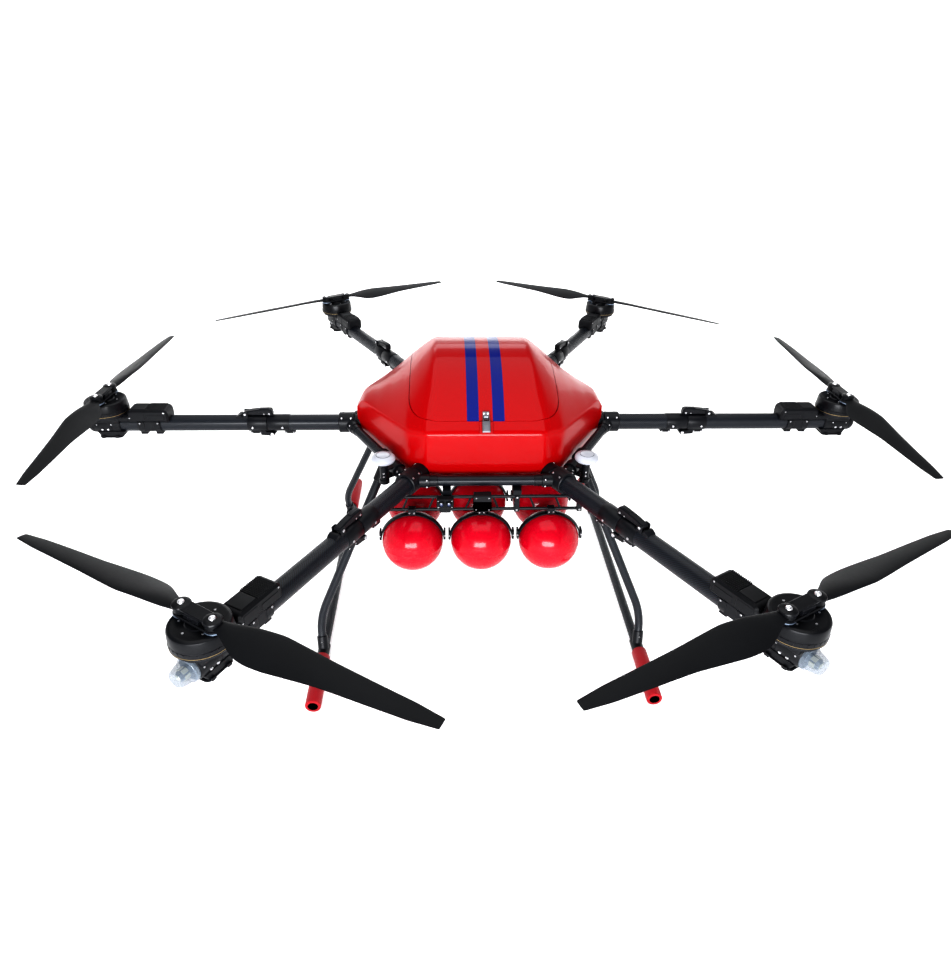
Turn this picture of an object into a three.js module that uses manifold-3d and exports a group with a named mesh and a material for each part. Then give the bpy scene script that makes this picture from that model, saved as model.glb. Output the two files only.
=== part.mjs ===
// Six-armed folding drone with a glossy hood and a rack of six round payloads.
// Millimetres, +Z up, origin on the ground under the centre of the frame, nose towards -Y.

import * as THREE from 'three';
import { mergeVertices } from 'three/addons/utils/BufferGeometryUtils.js';
import Module from 'manifold-3d';

const wasm = await Module();
wasm.setup();

// ---------------------------------------------------------------- driving dimensions

const GAP = 0.3;                 // clearance between neighbouring pieces
const SIDES = { pin: 6, rod: 8, tube: 12 }; // facets of round pieces, by size
const AXIS_HEIGHT = 540;         // arm tube axis above the ground
const MOTOR_REACH = 1000;        // frame centre to motor axis

const ARM_RADIUS = 22;           // arm tube, outside
const ARM_BORE = 19.5;           // arm tube, inside
const ARM_START = 208;           // inner end of the arm tube
const ARM_END = 1007;            // outer end of the arm tube
const FOLD_REACH = 579;          // plane where the two halves of the fold joint meet
const COLLAR_RADIUS = 23.2;      // fold joint collars
const COLLAR_START = 520;
const COLLAR_END = 632;
const PIN = { x: 569, z: -28 };  // fold pin under the arm
const LEVER = { x: 636, z: 30 }; // lock lever pivot on top of the arm

const RING_REACH = 362;          // ring corner, on the arm axis
const RING_RADIUS = 12.5;        // ring tube
const DECK_REACH = 262;          // corner of the hexagonal deck plates

const HUB_HEIGHT = 85.5;         // blade plane above the arm axis
const HUB_OFFSET = 37;           // rotor axis to blade pivot
const BLADE_LENGTH = 418;        // blade pivot to tip
const BLADE_DROOP = 2.5;         // tip below the hub plane

const HOOD_CROWN = 227.5;        // top of the hood above the arm axis
const HOOD_SKIN = 3;
const LID = { x: 186, y: 252, cornerX: 72, cornerY: 100 };

const SKID = { x: 429, z: -520, end: 532, radius: 12.5 };
const FOAM = { radius: 20, start: 366 };
const LEG = { radius: 11, footY: 343, kneeX: 436, kneeY: 303, kneeZ: -436, topX: 247, topY: 199 };

const BALL_RADIUS = 75;
const BALL_Z = -156;
const BALL_PITCH = 168;
const BALL_ROWS = { front: -336, rear: -166 };
const RACK = { x: -10, upper: -31, lower: -66, rod: 4, reach: 236 };

// Arm name, azimuth, direction of its first blade in the arm's own frame, how far each
// blade has swung from straight, and the side that the blades' trailing edges are on.
const ARMS = [
  { name: 'right', azimuth: 0, blade: -87.7, swing: [-2.5, -3.5], hand: -1 },
  { name: 'back_right', azimuth: 60, blade: 85.1, swing: [1.7, -2.7], hand: 1 },
  { name: 'back_left', azimuth: 120, blade: -87.1, swing: [-2.1, 2.1], hand: -1 },
  { name: 'left', azimuth: 180, blade: 85.6, swing: [6.6, 0.5], hand: 1 },
  { name: 'front_left', azimuth: 240, blade: -93.5, swing: [3.7, 4.4], hand: -1 },
  { name: 'front_right', azimuth: 300, blade: -92.2, swing: [-2.3, 0], hand: 1 },
];

// ---------------------------------------------------------------- finishes

const FINISH = {
  carbon: { color: 0x14161b, roughness: 0.32, metalness: 0.1 },
  anodised: { color: 0x0c0d0f, roughness: 0.42, metalness: 0.6 },
  blackPlastic: { color: 0x131416, roughness: 0.55, metalness: 0 },
  motor: { color: 0x0e0f11, roughness: 0.38, metalness: 0.7 },
  blade: { color: 0x1b1c1f, roughness: 0.45, metalness: 0 },
  hood: { color: 0xd4070d, roughness: 0.16, metalness: 0 },
  ball: { color: 0xc80a14, roughness: 0.22, metalness: 0 },
  steel: { color: 0xb9bcc0, roughness: 0.28, metalness: 1 },
  antenna: { color: 0xe9ebf2, roughness: 0.35, metalness: 0 },
  battery: { color: 0x1d2b52, roughness: 0.5, metalness: 0 },
};

// ---------------------------------------------------------------- solids

const radians = THREE.MathUtils.degToRad;
const lerp = THREE.MathUtils.lerp;

// A closed three.js geometry as a solid, without the zero-area triangles at its poles.
function solid(geometry) {
  const bare = new THREE.BufferGeometry();
  bare.setAttribute('position', geometry.attributes.position);
  if (geometry.index) bare.setIndex(geometry.index);
  const merged = mergeVertices(bare, 1e-4);
  const corners = merged.index.array;
  const triangles = [];
  for (let i = 0; i < corners.length; i += 3) {
    const [a, b, c] = [corners[i], corners[i + 1], corners[i + 2]];
    if (a !== b && b !== c && c !== a) triangles.push(a, b, c);
  }
  return new wasm.Manifold(new wasm.Mesh({
    numProp: 3,
    vertProperties: new Float32Array(merged.attributes.position.array),
    triVerts: new Uint32Array(triangles),
  }));
}

function join(...pieces) {
  return pieces.reduce((whole, piece) => whole.add(piece));
}

function block([x0, x1], [y0, y1], [z0, z1]) {
  const box = new THREE.BoxGeometry(x1 - x0, y1 - y0, z1 - z0);
  return solid(box.translate((x0 + x1) / 2, (y0 + y1) / 2, (z0 + z1) / 2));
}

// A round bar from one point to another.
function bar(from, to, radius, sides = SIDES.tube) {
  const a = new THREE.Vector3(...from);
  const b = new THREE.Vector3(...to);
  const length = a.distanceTo(b);
  const cylinder = new THREE.CylinderGeometry(radius, radius, length, sides);
  const turn = new THREE.Quaternion();
  turn.setFromUnitVectors(new THREE.Vector3(0, 1, 0), b.clone().sub(a).normalize());
  cylinder.applyQuaternion(turn);
  const middle = a.add(b).multiplyScalar(0.5);
  return solid(cylinder.translate(middle.x, middle.y, middle.z));
}

function outline(points) {
  return new THREE.Shape(points.map(([x, y]) => new THREE.Vector2(x, y)));
}

// A shape drawn in plan, between two heights.
function slab(shape, [z0, z1], curveSegments = 6) {
  const depth = z1 - z0;
  const body = new THREE.ExtrudeGeometry(shape, { depth, bevelEnabled: false, curveSegments });
  return solid(body.translate(0, 0, z0));
}

// A shape drawn in side view (x, z), between two depths in y.
function sideSlab(shape, [y0, y1], curveSegments = 6) {
  const depth = y1 - y0;
  const body = new THREE.ExtrudeGeometry(shape, { depth, bevelEnabled: false, curveSegments });
  return solid(body.rotateX(Math.PI / 2).translate(0, y1, 0));
}

// A turned shape about the x axis from [x, radius] pairs that start and end on the axis.
function turnedX(profile, sides) {
  const lathe = new THREE.LatheGeometry(profile.map(([x, r]) => new THREE.Vector2(r, x)), sides);
  return solid(lathe.rotateZ(-Math.PI / 2));
}

// A turned shape about the z axis from [radius, z] pairs.
function turnedZ(profile, sides) {
  const lathe = new THREE.LatheGeometry(profile.map(([r, z]) => new THREE.Vector2(r, z)), sides);
  return solid(lathe.rotateX(Math.PI / 2));
}

// A skin through rings of equal point counts, closed at both ends.
function loft(rings) {
  const count = rings[0].length;
  const points = rings.flat();
  const triangles = [];
  for (let r = 0; r + 1 < rings.length; r += 1) {
    for (let p = 0; p < count; p += 1) {
      const a = r * count + p;
      const b = r * count + ((p + 1) % count);
      triangles.push(a, b, a + count, b, b + count, a + count);
    }
  }
  for (const r of [0, rings.length - 1]) {
    const centre = points.length;
    const sum = rings[r].reduce((s, q) => s.map((v, k) => v + q[k]), [0, 0, 0]);
    points.push(sum.map((v) => v / count));
    for (let p = 0; p < count; p += 1) {
      const a = r * count + p;
      const b = r * count + ((p + 1) % count);
      triangles.push(...(r === 0 ? [b, a, centre] : [a, b, centre]));
    }
  }
  if (signedVolume(points, triangles) < 0) triangles.reverse();
  const geometry = new THREE.BufferGeometry();
  geometry.setAttribute('position', new THREE.Float32BufferAttribute(points.flat(), 3));
  geometry.setIndex(triangles);
  return solid(geometry);
}

function signedVolume(points, triangles) {
  let volume = 0;
  for (let i = 0; i < triangles.length; i += 3) {
    const [a, b, c] = [0, 1, 2].map((k) => new THREE.Vector3(...points[triangles[i + k]]));
    volume += a.dot(b.cross(c)) / 6;
  }
  return volume;
}

function mirrored(shape, axis) {
  return shape.mirror(axis);
}

function piece(name, shape, finish) {
  const { vertProperties, triVerts } = shape.getMesh();
  const geometry = new THREE.BufferGeometry();
  geometry.setAttribute('position', new THREE.Float32BufferAttribute(vertProperties, 3));
  geometry.setIndex(new THREE.Uint32BufferAttribute(triVerts, 1));
  geometry.computeVertexNormals();
  const part = new THREE.Mesh(geometry, new THREE.MeshStandardMaterial(finish));
  part.name = name;
  return part;
}

// ---------------------------------------------------------------- arm, in its own frame
// x runs out along the arm tube from the frame centre, z = 0 is the tube axis.

function armRoot() {
  const [lugHalf, lugRadius] = [8, 7];
  const body = join(
    bar([ARM_START, 0, 0], [COLLAR_START + 10, 0, 0], ARM_RADIUS),
    bar([COLLAR_START, 0, 0], [FOLD_REACH - GAP, 0, 0], COLLAR_RADIUS),
    block([507, 535], [-14, 14], [-27, -10]),
    block([559, FOLD_REACH - 2], [-lugHalf, lugHalf], [PIN.z, -12]),
    bar([PIN.x, -lugHalf, PIN.z], [PIN.x, lugHalf, PIN.z], lugRadius, SIDES.rod),
    block([563, FOLD_REACH - 1], [-6, 6], [18, 24.2]),
  );
  return body.subtract(bar([0, 0, 0], [FOLD_REACH + 1, 0, 0], ARM_BORE, SIDES.rod));
}

function armOuter() {
  const lugs = [-1, 1].map((side) => {
    const y = [8 + GAP, 16].map((v) => v * side).sort((a, b) => a - b);
    return join(
      bar([PIN.x, y[0], PIN.z], [PIN.x, y[1], PIN.z], 7, SIDES.rod),
      block([PIN.x, 600], y, [PIN.z - 3, PIN.z + 6]),
      block([584, 600], y, [PIN.z, -8]),
    );
  });
  const ears = [-1, 1].map((side) => {
    const y = [9 + GAP, 13].map((v) => v * side).sort((a, b) => a - b);
    return block([LEVER.x - 8, LEVER.x + 7], y, [12, LEVER.z + 6]);
  });
  const body = join(
    bar([COLLAR_END - 10, 0, 0], [ARM_END, 0, 0], ARM_RADIUS),
    bar([FOLD_REACH + GAP, 0, 0], [COLLAR_END, 0, 0], COLLAR_RADIUS),
    block([597, 627], [-14, 14], [-27, -10]),
    block([COLLAR_END - 14, LEVER.x + 26], [-13, 13], [12, 21.5]),
    block([LEVER.x + 9, LEVER.x + 24], [-11, 11], [12, 28]),
    ...lugs,
    ...ears,
  );
  return body.subtract(bar([FOLD_REACH - 1, 0, 0], [ARM_END + 1, 0, 0], ARM_BORE, SIDES.rod));
}

function foldLever() {
  const profile = outline([
    [562, 25], [565, 41], [586, 42], [618, 39], [LEVER.x + 5, LEVER.z + 4],
    [LEVER.x + 5, LEVER.z - 4], [LEVER.x - 6, 25.5],
  ]);
  return sideSlab(profile, [-9, 9]);
}

function motorPod(lamp) {
  const speedController = sideSlab(outline([
    [836, 10], [836, 41], [842, 48], [936, 48], [942, 43], [942, 33], [976, 33], [976, 10],
  ]), [-26, 26]);
  const end = lamp
    ? [[1020, 0], [1020, 24], [1044, 24], [1045, 21], [1069, 15], [1069, 0]]
    : [[1020, 0], [1020, 24], [1046, 24], [1057, 13], [1057, 0]];
  const body = join(
    speedController,
    block([862, 922], [-25, 25], [-25, 12]),
    bar([962, 0, 0], [1036, 0, 0], 25),
    turnedX(end, SIDES.rod),
    sideSlab(outline([[958, -14], [974, -33], [1026, -33], [1032, -14]]), [-23, 23]),
    block([966, 1034], [-28, 28], [12, 31]),
    bar([MOTOR_REACH, 0, 24], [MOTOR_REACH, 0, 64.5], 48.5),
  );
  return body.subtract(bar([800, 0, 0], [ARM_END + 1, 0, 0], ARM_RADIUS + GAP + 0.8));
}

// ---------------------------------------------------------------- rotor
// Its own frame has the motor axis at x = y = 0, with blade pivots along x.

function hubPlate([z0, z1]) {
  const plate = new THREE.Shape();
  plate.absarc(HUB_OFFSET, 0, 16.5, -Math.PI / 2, Math.PI / 2, false);
  plate.absarc(-HUB_OFFSET, 0, 16.5, Math.PI / 2, 1.5 * Math.PI, false);
  return slab(plate, [z0, z1], 3);
}

function rotor() {
  const [skirt, crown] = [36, 72.5];
  const bell = turnedZ([
    [50.5, skirt], [54.5, skirt], [52, crown], [0, crown],
    [0, crown - 6], [50.5, crown - 6], [50.5, skirt],
  ], SIDES.tube);
  const rootHalf = 4.9;
  const [low, high] = [HUB_HEIGHT - rootHalf, HUB_HEIGHT + rootHalf];
  const pins = [-HUB_OFFSET, HUB_OFFSET].map(
    (x) => bar([x, 0, low - 1], [x, 0, high + 1], 3.6, SIDES.pin),
  );
  return join(
    bell,
    bar([0, 0, crown - 2], [0, 0, low - 2], 15, SIDES.rod),
    hubPlate([low - 5, low]),
    block([-17.5, 17.5], [-14, 14], [low - 1, high + 1]),
    hubPlate([high, high + 4.5]),
    ...pins,
  );
}

// Blade outline along its length s, measured from its pivot: leading edge, chord,
// twist in degrees and thickness.
const BLADE_STATIONS = [
  { s: 8, lead: -11, chord: 22, twist: 0, thick: 8 },
  { s: 28, lead: -15, chord: 32, twist: 3, thick: 8 },
  { s: 45, lead: -18, chord: 44, twist: 8, thick: 8.5 },
  { s: 70, lead: -22, chord: 60, twist: 14, thick: 9 },
  { s: 95, lead: -25, chord: 66, twist: 15, thick: 8.5 },
  { s: 125, lead: -28, chord: 68, twist: 14, thick: 8 },
  { s: 171, lead: -25, chord: 59, twist: 12, thick: 7 },
  { s: 222, lead: -21, chord: 48, twist: 10, thick: 6.2 },
  { s: 300, lead: -17, chord: 39, twist: 8, thick: 4.6 },
  { s: 370, lead: -14, chord: 31, twist: 7, thick: 3.2 },
  { s: BLADE_LENGTH, lead: -9, chord: 19, twist: 6, thick: 2.2 },
];

// Section points as fractions of chord and thickness, leading edge first, over the top.
const AEROFOIL = [[0, 0], [0.15, 0.45], [0.5, 0.58], [1, 0], [0.3, -0.38]];

function blade(hand) {
  const rings = BLADE_STATIONS.map(({ s, lead, chord, twist, thick }) => {
    const drop = BLADE_DROOP * (s / BLADE_LENGTH) ** 2;
    const angle = radians(twist);
    return AEROFOIL.map(([along, up]) => {
      const [y, z] = [lead + along * chord, up * thick];
      const turned = y * Math.cos(angle) + z * Math.sin(angle);
      const raised = z * Math.cos(angle) - y * Math.sin(angle);
      return [s, hand * turned, raised - drop];
    });
  });
  const eye = bar([0, 0, -4.5], [0, 0, 4.5], 15);
  const hole = bar([0, 0, -6], [0, 0, 6], 4.4, SIDES.pin);
  return join(loft(rings), eye).subtract(hole);
}

// ---------------------------------------------------------------- frame and deck

const corner = (azimuth, reach, z = 0) => [
  reach * Math.cos(radians(azimuth)), reach * Math.sin(radians(azimuth)), z,
];

function ringFrame() {
  const angles = ARMS.map(({ azimuth }) => azimuth);
  const tubes = angles.map(
    (a) => bar(corner(a, RING_REACH), corner(a + 60, RING_REACH), RING_RADIUS, SIDES.rod),
  );
  const clamps = angles.map((a) => bar(corner(a, 343), corner(a, 386), 28, SIDES.rod));
  const bores = angles.map((a) => bar(corner(a, 300), corner(a, 420), ARM_RADIUS + GAP + 0.8));
  return join(...tubes, ...clamps).subtract(join(...bores));
}

function deckOutline(reach) {
  return outline(ARMS.map(({ azimuth }) => corner(azimuth, reach).slice(0, 2)));
}

function centreDeck() {
  const plates = [[22, 25], [-25, -22]].map((z) => slab(deckOutline(DECK_REACH), z));
  const blocks = ARMS.map(({ azimuth }) => block([206, 236], [-25, 25], [-23, 23])
    .rotate([0, 0, azimuth]));
  const bores = ARMS.map(({ azimuth }) => bar(
    corner(azimuth, 180), corner(azimuth, 300), ARM_RADIUS + GAP + 0.8,
  ));
  const controller = block([-38, 38], [158, 214], [24, 52]);
  return join(...plates, controller, ...blocks).subtract(join(...bores));
}

function batteryPack() {
  const bricks = [-1, 1].map((side) => {
    const x = [3, 93].map((v) => v * side).sort((a, b) => a - b);
    return block(x, [-118, 118], [27, 148]);
  });
  const lead = bar([0, -140, 40], [0, -100, 40], 7, SIDES.rod);
  return join(...bricks, block([-95, 95], [-122, 122], [25 + GAP, 28.5]), lead,
    block([-10, 10], [-122, 122], [27, 60]));
}

// ---------------------------------------------------------------- hood

// Half the hood's depth at its fold line, the height of its wall and of its crown,
// all as functions of the distance from the middle plane.
function along(table, x) {
  const last = table.length - 1;
  const n = Math.min(last - 1, Math.max(0, table.findIndex(([px]) => px >= x) - 1));
  const [[xa, va], [xb, vb]] = [table[n], table[n + 1]];
  return lerp(va, vb, THREE.MathUtils.clamp((x - xa) / (xb - xa), 0, 1));
}
const HOOD_DEPTH = [[0, 283], [143, 283], [190, 250], [330, 18], [334, 14]];
const HOOD_WALL = [[0, 107], [140, 107], [190, 99], [316, 84], [328, 64], [334, 48]];
const HOOD_TOP = [
  [0, HOOD_CROWN], [121, HOOD_CROWN], [130, 222], [165, 193], [200, 160], [235, 131],
  [280, 101], [316, 84], [328, 64], [334, 48],
];
const HOOD_STATIONS = [0, 121, 130, 165, 190, 235, 280, 316, 334];
const HOOD_ARC = 5;

function hoodBlock(inset) {
  const sizes = HOOD_STATIONS.map((x) => Math.min(x, 334 - inset));
  const stations = [...sizes.slice(1).reverse().map((x) => -x), ...sizes];
  const rings = stations.map((x) => {
    const u = Math.abs(x) * (334 / (334 - inset));
    const depth = along(HOOD_DEPTH, u) - inset;
    const wall = along(HOOD_WALL, u) - inset;
    const top = Math.max(wall, along(HOOD_TOP, u) - inset);
    const shoulder = depth - Math.min(6, depth * 0.2);
    const arc = [];
    for (let i = 1; i < 2 * HOOD_ARC; i += 1) {
      const v = i / HOOD_ARC - 1;
      arc.push([x, shoulder * v, wall + (top - wall) * (1 - Math.abs(v) ** 1.9) + 1e-3]);
    }
    const hem = depth - Math.min(8, depth * 0.3);
    const bottom = inset ? -40 : -27;
    return [
      [x, -hem, bottom], [x, -depth, 0], [x, -shoulder, wall], ...arc,
      [x, shoulder, wall], [x, depth, 0], [x, hem, bottom],
    ];
  });
  return loft(rings);
}

function lidOutline(shrink) {
  const [x, y] = [LID.x - shrink, LID.y - shrink];
  const [cx, cy] = [x - LID.cornerX, y - LID.cornerY];
  const shape = new THREE.Shape();
  const quarter = Math.PI / 2;
  const corners = [[cx, cy], [-cx, cy], [-cx, -cy], [cx, -cy]];
  corners.forEach(([ox, oy], n) => {
    shape.absellipse(ox, oy, LID.cornerX, LID.cornerY, n * quarter, (n + 1) * quarter, false, 0);
  });
  return shape;
}

const hoodSkin = hoodBlock(0).subtract(hoodBlock(HOOD_SKIN));

function hoodShell() {
  const notches = ARMS.map(({ azimuth }) => join(
    bar(corner(azimuth, 280), corner(azimuth, 360), 24.5),
    block([280, 360], [-24.5, 24.5], [-60, 0]).rotate([0, 0, azimuth]),
  ));
  return hoodSkin.subtract(slab(lidOutline(0), [40, 300], 4)).subtract(join(...notches));
}

function hoodLid() {
  return hoodSkin.intersect(slab(lidOutline(0.6), [40, 300], 4));
}

// Toggle latch, lying on the hood's sloping nose just below the lid's edge.
function lidLatch() {
  const plate = outline([[0, 0], [0, 5.5], [6, 8], [27, 8], [31, 5], [31, 1.5], [6, 1.5]]);
  const lying = sideSlab(plate, [-10, 10]).rotate([0, 0, 90]);
  return lying.rotate([39, 0, 0]).translate([0, -279, 109.5]);
}

// ---------------------------------------------------------------- landing gear

// One bent leg with its clamp on the ring tube, its tee on the skid and the foam sleeve
// beyond it; end is 1 for the rear leg and -1 for the front one.
function leg(end) {
  const knee = new THREE.Vector3(LEG.kneeX, end * LEG.kneeY, LEG.kneeZ);
  const sole = new THREE.Vector3(SKID.x, end * LEG.footY, SKID.z);
  const top = new THREE.Vector3(LEG.topX, end * LEG.topY, -14);
  const [below, above] = [knee.clone().lerp(sole, 0.45), knee.clone().lerp(top, 0.1)];
  const path = new THREE.CurvePath();
  path.add(new THREE.LineCurve3(sole, below));
  path.add(new THREE.QuadraticBezierCurve3(below, knee, above));
  path.add(new THREE.LineCurve3(above, top));
  const section = new THREE.Shape();
  section.absarc(0, 0, LEG.radius, 0, 2 * Math.PI, false);
  const tube = new THREE.ExtrudeGeometry(section, {
    steps: 9, extrudePath: path, curveSegments: 4, bevelEnabled: false,
  });
  const clampEnd = (reach) => [LEG.topX - reach / 2, end * (LEG.topY + reach * 0.866), 0];
  return join(
    solid(tube),
    bar([SKID.x, sole.y - 22, SKID.z], [SKID.x, sole.y + 22, SKID.z], 16, SIDES.rod),
    bar(clampEnd(-16), clampEnd(16), 18, SIDES.rod),
    bar([SKID.x, end * FOAM.start, SKID.z], [SKID.x, end * SKID.end, SKID.z], FOAM.radius),
  );
}

function landingGear() {
  const skid = bar([SKID.x, -SKID.end + 8, SKID.z], [SKID.x, SKID.end - 8, SKID.z],
    SKID.radius, SIDES.rod);
  const ringTubes = [0, -60].map(
    (a) => bar(corner(a, RING_REACH), corner(a + 60, RING_REACH), RING_RADIUS + 1.2, SIDES.rod),
  );
  return join(skid, leg(-1), leg(1)).subtract(join(...ringTubes));
}

// ---------------------------------------------------------------- payload, nose and masts

function payloadRack() {
  const rows = Object.values(BALL_ROWS);
  const parts = [];
  for (const y of rows) {
    for (const z of [RACK.upper, RACK.lower]) {
      parts.push(bar([-RACK.reach, y, z], [RACK.reach, y, z], RACK.rod, SIDES.pin));
    }
    for (const x of [-RACK.reach, -BALL_PITCH / 2, BALL_PITCH / 2, RACK.reach]) {
      parts.push(block([x - 6, x + 6], [y - 6, y + 6], [RACK.lower - 6, RACK.upper + 3]));
    }
    for (const n of [-1, 0, 1]) parts.push(cradle(n * BALL_PITCH, y));
  }
  for (const side of [-1, 1]) {
    const x = side * BALL_PITCH / 2;
    parts.push(bar([x, rows[0] - 4, RACK.upper], [x, -50, RACK.upper], 3.5, SIDES.pin));
    parts.push(block([x - 12, x + 12], [-200, -176], [RACK.upper, -25 - GAP]));
    parts.push(block([x - 12, x + 12], [-84, -60], [RACK.upper, -25 - GAP]));
    parts.push(block([x - 10, x + 10], [rows[0] - 2, rows[0] + 30], [RACK.upper, -RING_RADIUS - 0.8]));
  }
  const box = block([-21, 21], [-366, -344], [-55, -11]);
  const foot = block([-21, 21], [-366, -333], [-55, -25]);
  return join(...parts, box, foot).translate([RACK.x, 0, 0]);
}

// Half hoop over the top of one ball, hung from the lower rod.
function cradle(x, y) {
  const [inner, outer, reach] = [BALL_RADIUS + 1, BALL_RADIUS + 4, radians(86)];
  const hoop = new THREE.Shape();
  hoop.absarc(x, BALL_Z, outer, Math.PI / 2 - reach, Math.PI / 2 + reach, false);
  hoop.absarc(x, BALL_Z, inner, Math.PI / 2 + reach, Math.PI / 2 - reach, true);
  return join(
    sideSlab(hoop, [y - 7, y + 7], 5),
    block([x - 7, x + 7], [y - 7, y + 7], [BALL_Z + inner + 1, RACK.lower]),
  );
}

function payloadBall() {
  return solid(new THREE.IcosahedronGeometry(BALL_RADIUS, 2));
}

function frontSensor() {
  const [x, y, z] = [RACK.x - BALL_PITCH / 2 - 4, BALL_ROWS.front - 18, -36];
  return join(
    block([x - 20, x + 20], [y - 8, y + 8], [z - 12, z + 14]),
    block([x - 13, x + 13], [y - 7, y + 9], [z - 24, z]),
    bar([x - 9, y - 14, z + 2], [x - 9, y, z + 2], 7, SIDES.rod),
    bar([x + 9, y - 14, z + 2], [x + 9, y, z + 2], 7, SIDES.rod),
  );
}

function antenna() {
  const [seatX, seatY, mastX, mastY] = [215, -255, 245, -277];
  const way = corner(-120, 11);
  const disc = turnedZ([
    [0, 34], [25, 34], [29, 38], [29, 44], [23, 50], [0, 53],
  ], SIDES.tube).translate([mastX, mastY, 0]);
  const bracket = sideSlab(outline([[0, -12], [0, 12], [48, 8], [48, -12]]), [-7, 7]);
  const angle = THREE.MathUtils.radToDeg(Math.atan2(mastY - seatY, mastX - seatX));
  return join(
    disc,
    bar([mastX, mastY, -24], [mastX, mastY, 36], 10, SIDES.rod),
    bracket.rotate([0, 0, angle]).translate([seatX, seatY, 0]),
    bar([seatX - way[0], seatY - way[1], 0], [seatX + way[0], seatY + way[1], 0], 18, SIDES.rod),
  ).subtract(bar(corner(0, RING_REACH), corner(-60, RING_REACH), RING_RADIUS + 1.2, SIDES.rod));
}

// ---------------------------------------------------------------- assembly

const drone = new THREE.Group();
const body = new THREE.Group();
body.position.z = AXIS_HEIGHT;
drone.add(body);

body.add(piece('ring_frame', ringFrame(), FINISH.carbon));
body.add(piece('centre_deck', centreDeck(), FINISH.carbon));
body.add(piece('battery_pack', batteryPack(), FINISH.battery));
body.add(piece('hood_shell', hoodShell(), FINISH.hood));
body.add(piece('hood_lid', hoodLid(), FINISH.hood));
body.add(piece('lid_latch', lidLatch(), FINISH.steel));
body.add(piece('payload_rack', payloadRack(), FINISH.anodised));
body.add(piece('front_sensor', frontSensor(), FINISH.blackPlastic));

const gear = landingGear();
body.add(piece('landing_gear_right', gear, FINISH.carbon));
body.add(piece('landing_gear_left', mirrored(gear, [1, 0, 0]), FINISH.carbon));

const mast = antenna();
body.add(piece('antenna_right', mast, FINISH.antenna));
body.add(piece('antenna_left', mirrored(mast, [1, 0, 0]), FINISH.antenna));

const ball = payloadBall();
for (const [row, y] of Object.entries(BALL_ROWS)) {
  ['left', 'middle', 'right'].forEach((side, n) => {
    const payload = piece(`ball_${row}_${side}`, ball, FINISH.ball);
    payload.position.set(RACK.x + (n - 1) * BALL_PITCH, y, BALL_Z);
    body.add(payload);
  });
}

const shapes = {
  root: armRoot(), outer: armOuter(), lever: foldLever(), rotor: rotor(),
  pod: motorPod(false), lampPod: motorPod(true), blade: { 1: blade(1), '-1': blade(-1) },
};

for (const { name, azimuth, blade: facing, swing, hand } of ARMS) {
  const arm = new THREE.Group();
  arm.rotation.z = radians(azimuth);
  body.add(arm);
  const pod = name.startsWith('front') ? shapes.lampPod : shapes.pod;
  arm.add(piece(`arm_root_${name}`, shapes.root, FINISH.carbon));
  arm.add(piece(`arm_outer_${name}`, shapes.outer, FINISH.carbon));
  arm.add(piece(`fold_lever_${name}`, shapes.lever, FINISH.anodised));
  arm.add(piece(`motor_pod_${name}`, pod, FINISH.blackPlastic));

  const spinner = new THREE.Group();
  spinner.position.x = MOTOR_REACH;
  spinner.rotation.z = radians(facing);
  arm.add(spinner);
  spinner.add(piece(`rotor_${name}`, shapes.rotor, FINISH.motor));
  ['a', 'b'].forEach((letter, n) => {
    const half = new THREE.Group();
    half.rotation.z = n * Math.PI;
    spinner.add(half);
    const wing = piece(`blade_${letter}_${name}`, shapes.blade[hand], FINISH.blade);
    wing.position.set(HUB_OFFSET, 0, HUB_HEIGHT);
    wing.rotation.z = radians(swing[n]);
    half.add(wing);
  });
}

export default drone;
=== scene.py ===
# Six-armed folding drone: red lacquered hood, carbon tubes, black propellers and red payloads.
# Lengths are in millimetres in the pieces' own tables and in metres once a piece is made.

import math

import bmesh
import bpy
import numpy as np
from mathutils import Matrix, Vector


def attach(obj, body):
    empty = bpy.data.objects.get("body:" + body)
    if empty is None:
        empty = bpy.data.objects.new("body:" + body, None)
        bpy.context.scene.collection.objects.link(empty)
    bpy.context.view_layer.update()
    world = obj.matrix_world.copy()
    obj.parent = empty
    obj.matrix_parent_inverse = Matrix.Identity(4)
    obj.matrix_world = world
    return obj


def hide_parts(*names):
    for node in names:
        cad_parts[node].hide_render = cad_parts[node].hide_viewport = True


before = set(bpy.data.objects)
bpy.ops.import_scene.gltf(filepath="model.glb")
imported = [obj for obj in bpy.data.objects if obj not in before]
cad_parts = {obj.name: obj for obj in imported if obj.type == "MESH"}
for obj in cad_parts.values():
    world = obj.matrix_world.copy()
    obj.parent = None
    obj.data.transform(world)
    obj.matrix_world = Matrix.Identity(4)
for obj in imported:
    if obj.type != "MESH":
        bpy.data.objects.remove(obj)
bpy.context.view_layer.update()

scene = bpy.context.scene

# ------------------------------------------------------------------ camera, floor and light
# The drone stands on a pale sweep that curves up behind it. A broad window of light low in
# front, a high panel behind and a weak ceiling panel light it.

AXIS = 0.540
SENSOR, FOCAL_RATIO = 36, 698.3 / 954
eye = Vector((-0.0994, -1.7362, AXIS + 0.8679))
yaw, pitch, roll = math.radians(2.978), math.radians(31.055), math.radians(1.162)
ahead = Vector((math.sin(yaw) * math.cos(pitch), math.cos(yaw) * math.cos(pitch), -math.sin(pitch)))
level = Vector((math.cos(yaw), -math.sin(yaw), 0))
upward = level.cross(ahead)
right = math.cos(roll) * level + math.sin(roll) * upward
upward = math.cos(roll) * upward - math.sin(roll) * level
lens = bpy.data.cameras.new("camera")
lens.sensor_width = SENSOR
lens.lens = FOCAL_RATIO * SENSOR
lens.clip_start, lens.clip_end = 0.05, 60
camera = bpy.data.objects.new("camera", lens)
turn = Matrix((right, upward, -ahead)).transposed().to_4x4()
camera.matrix_world = Matrix.Translation(eye) @ turn
scene.collection.objects.link(camera)
scene.camera = camera


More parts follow.
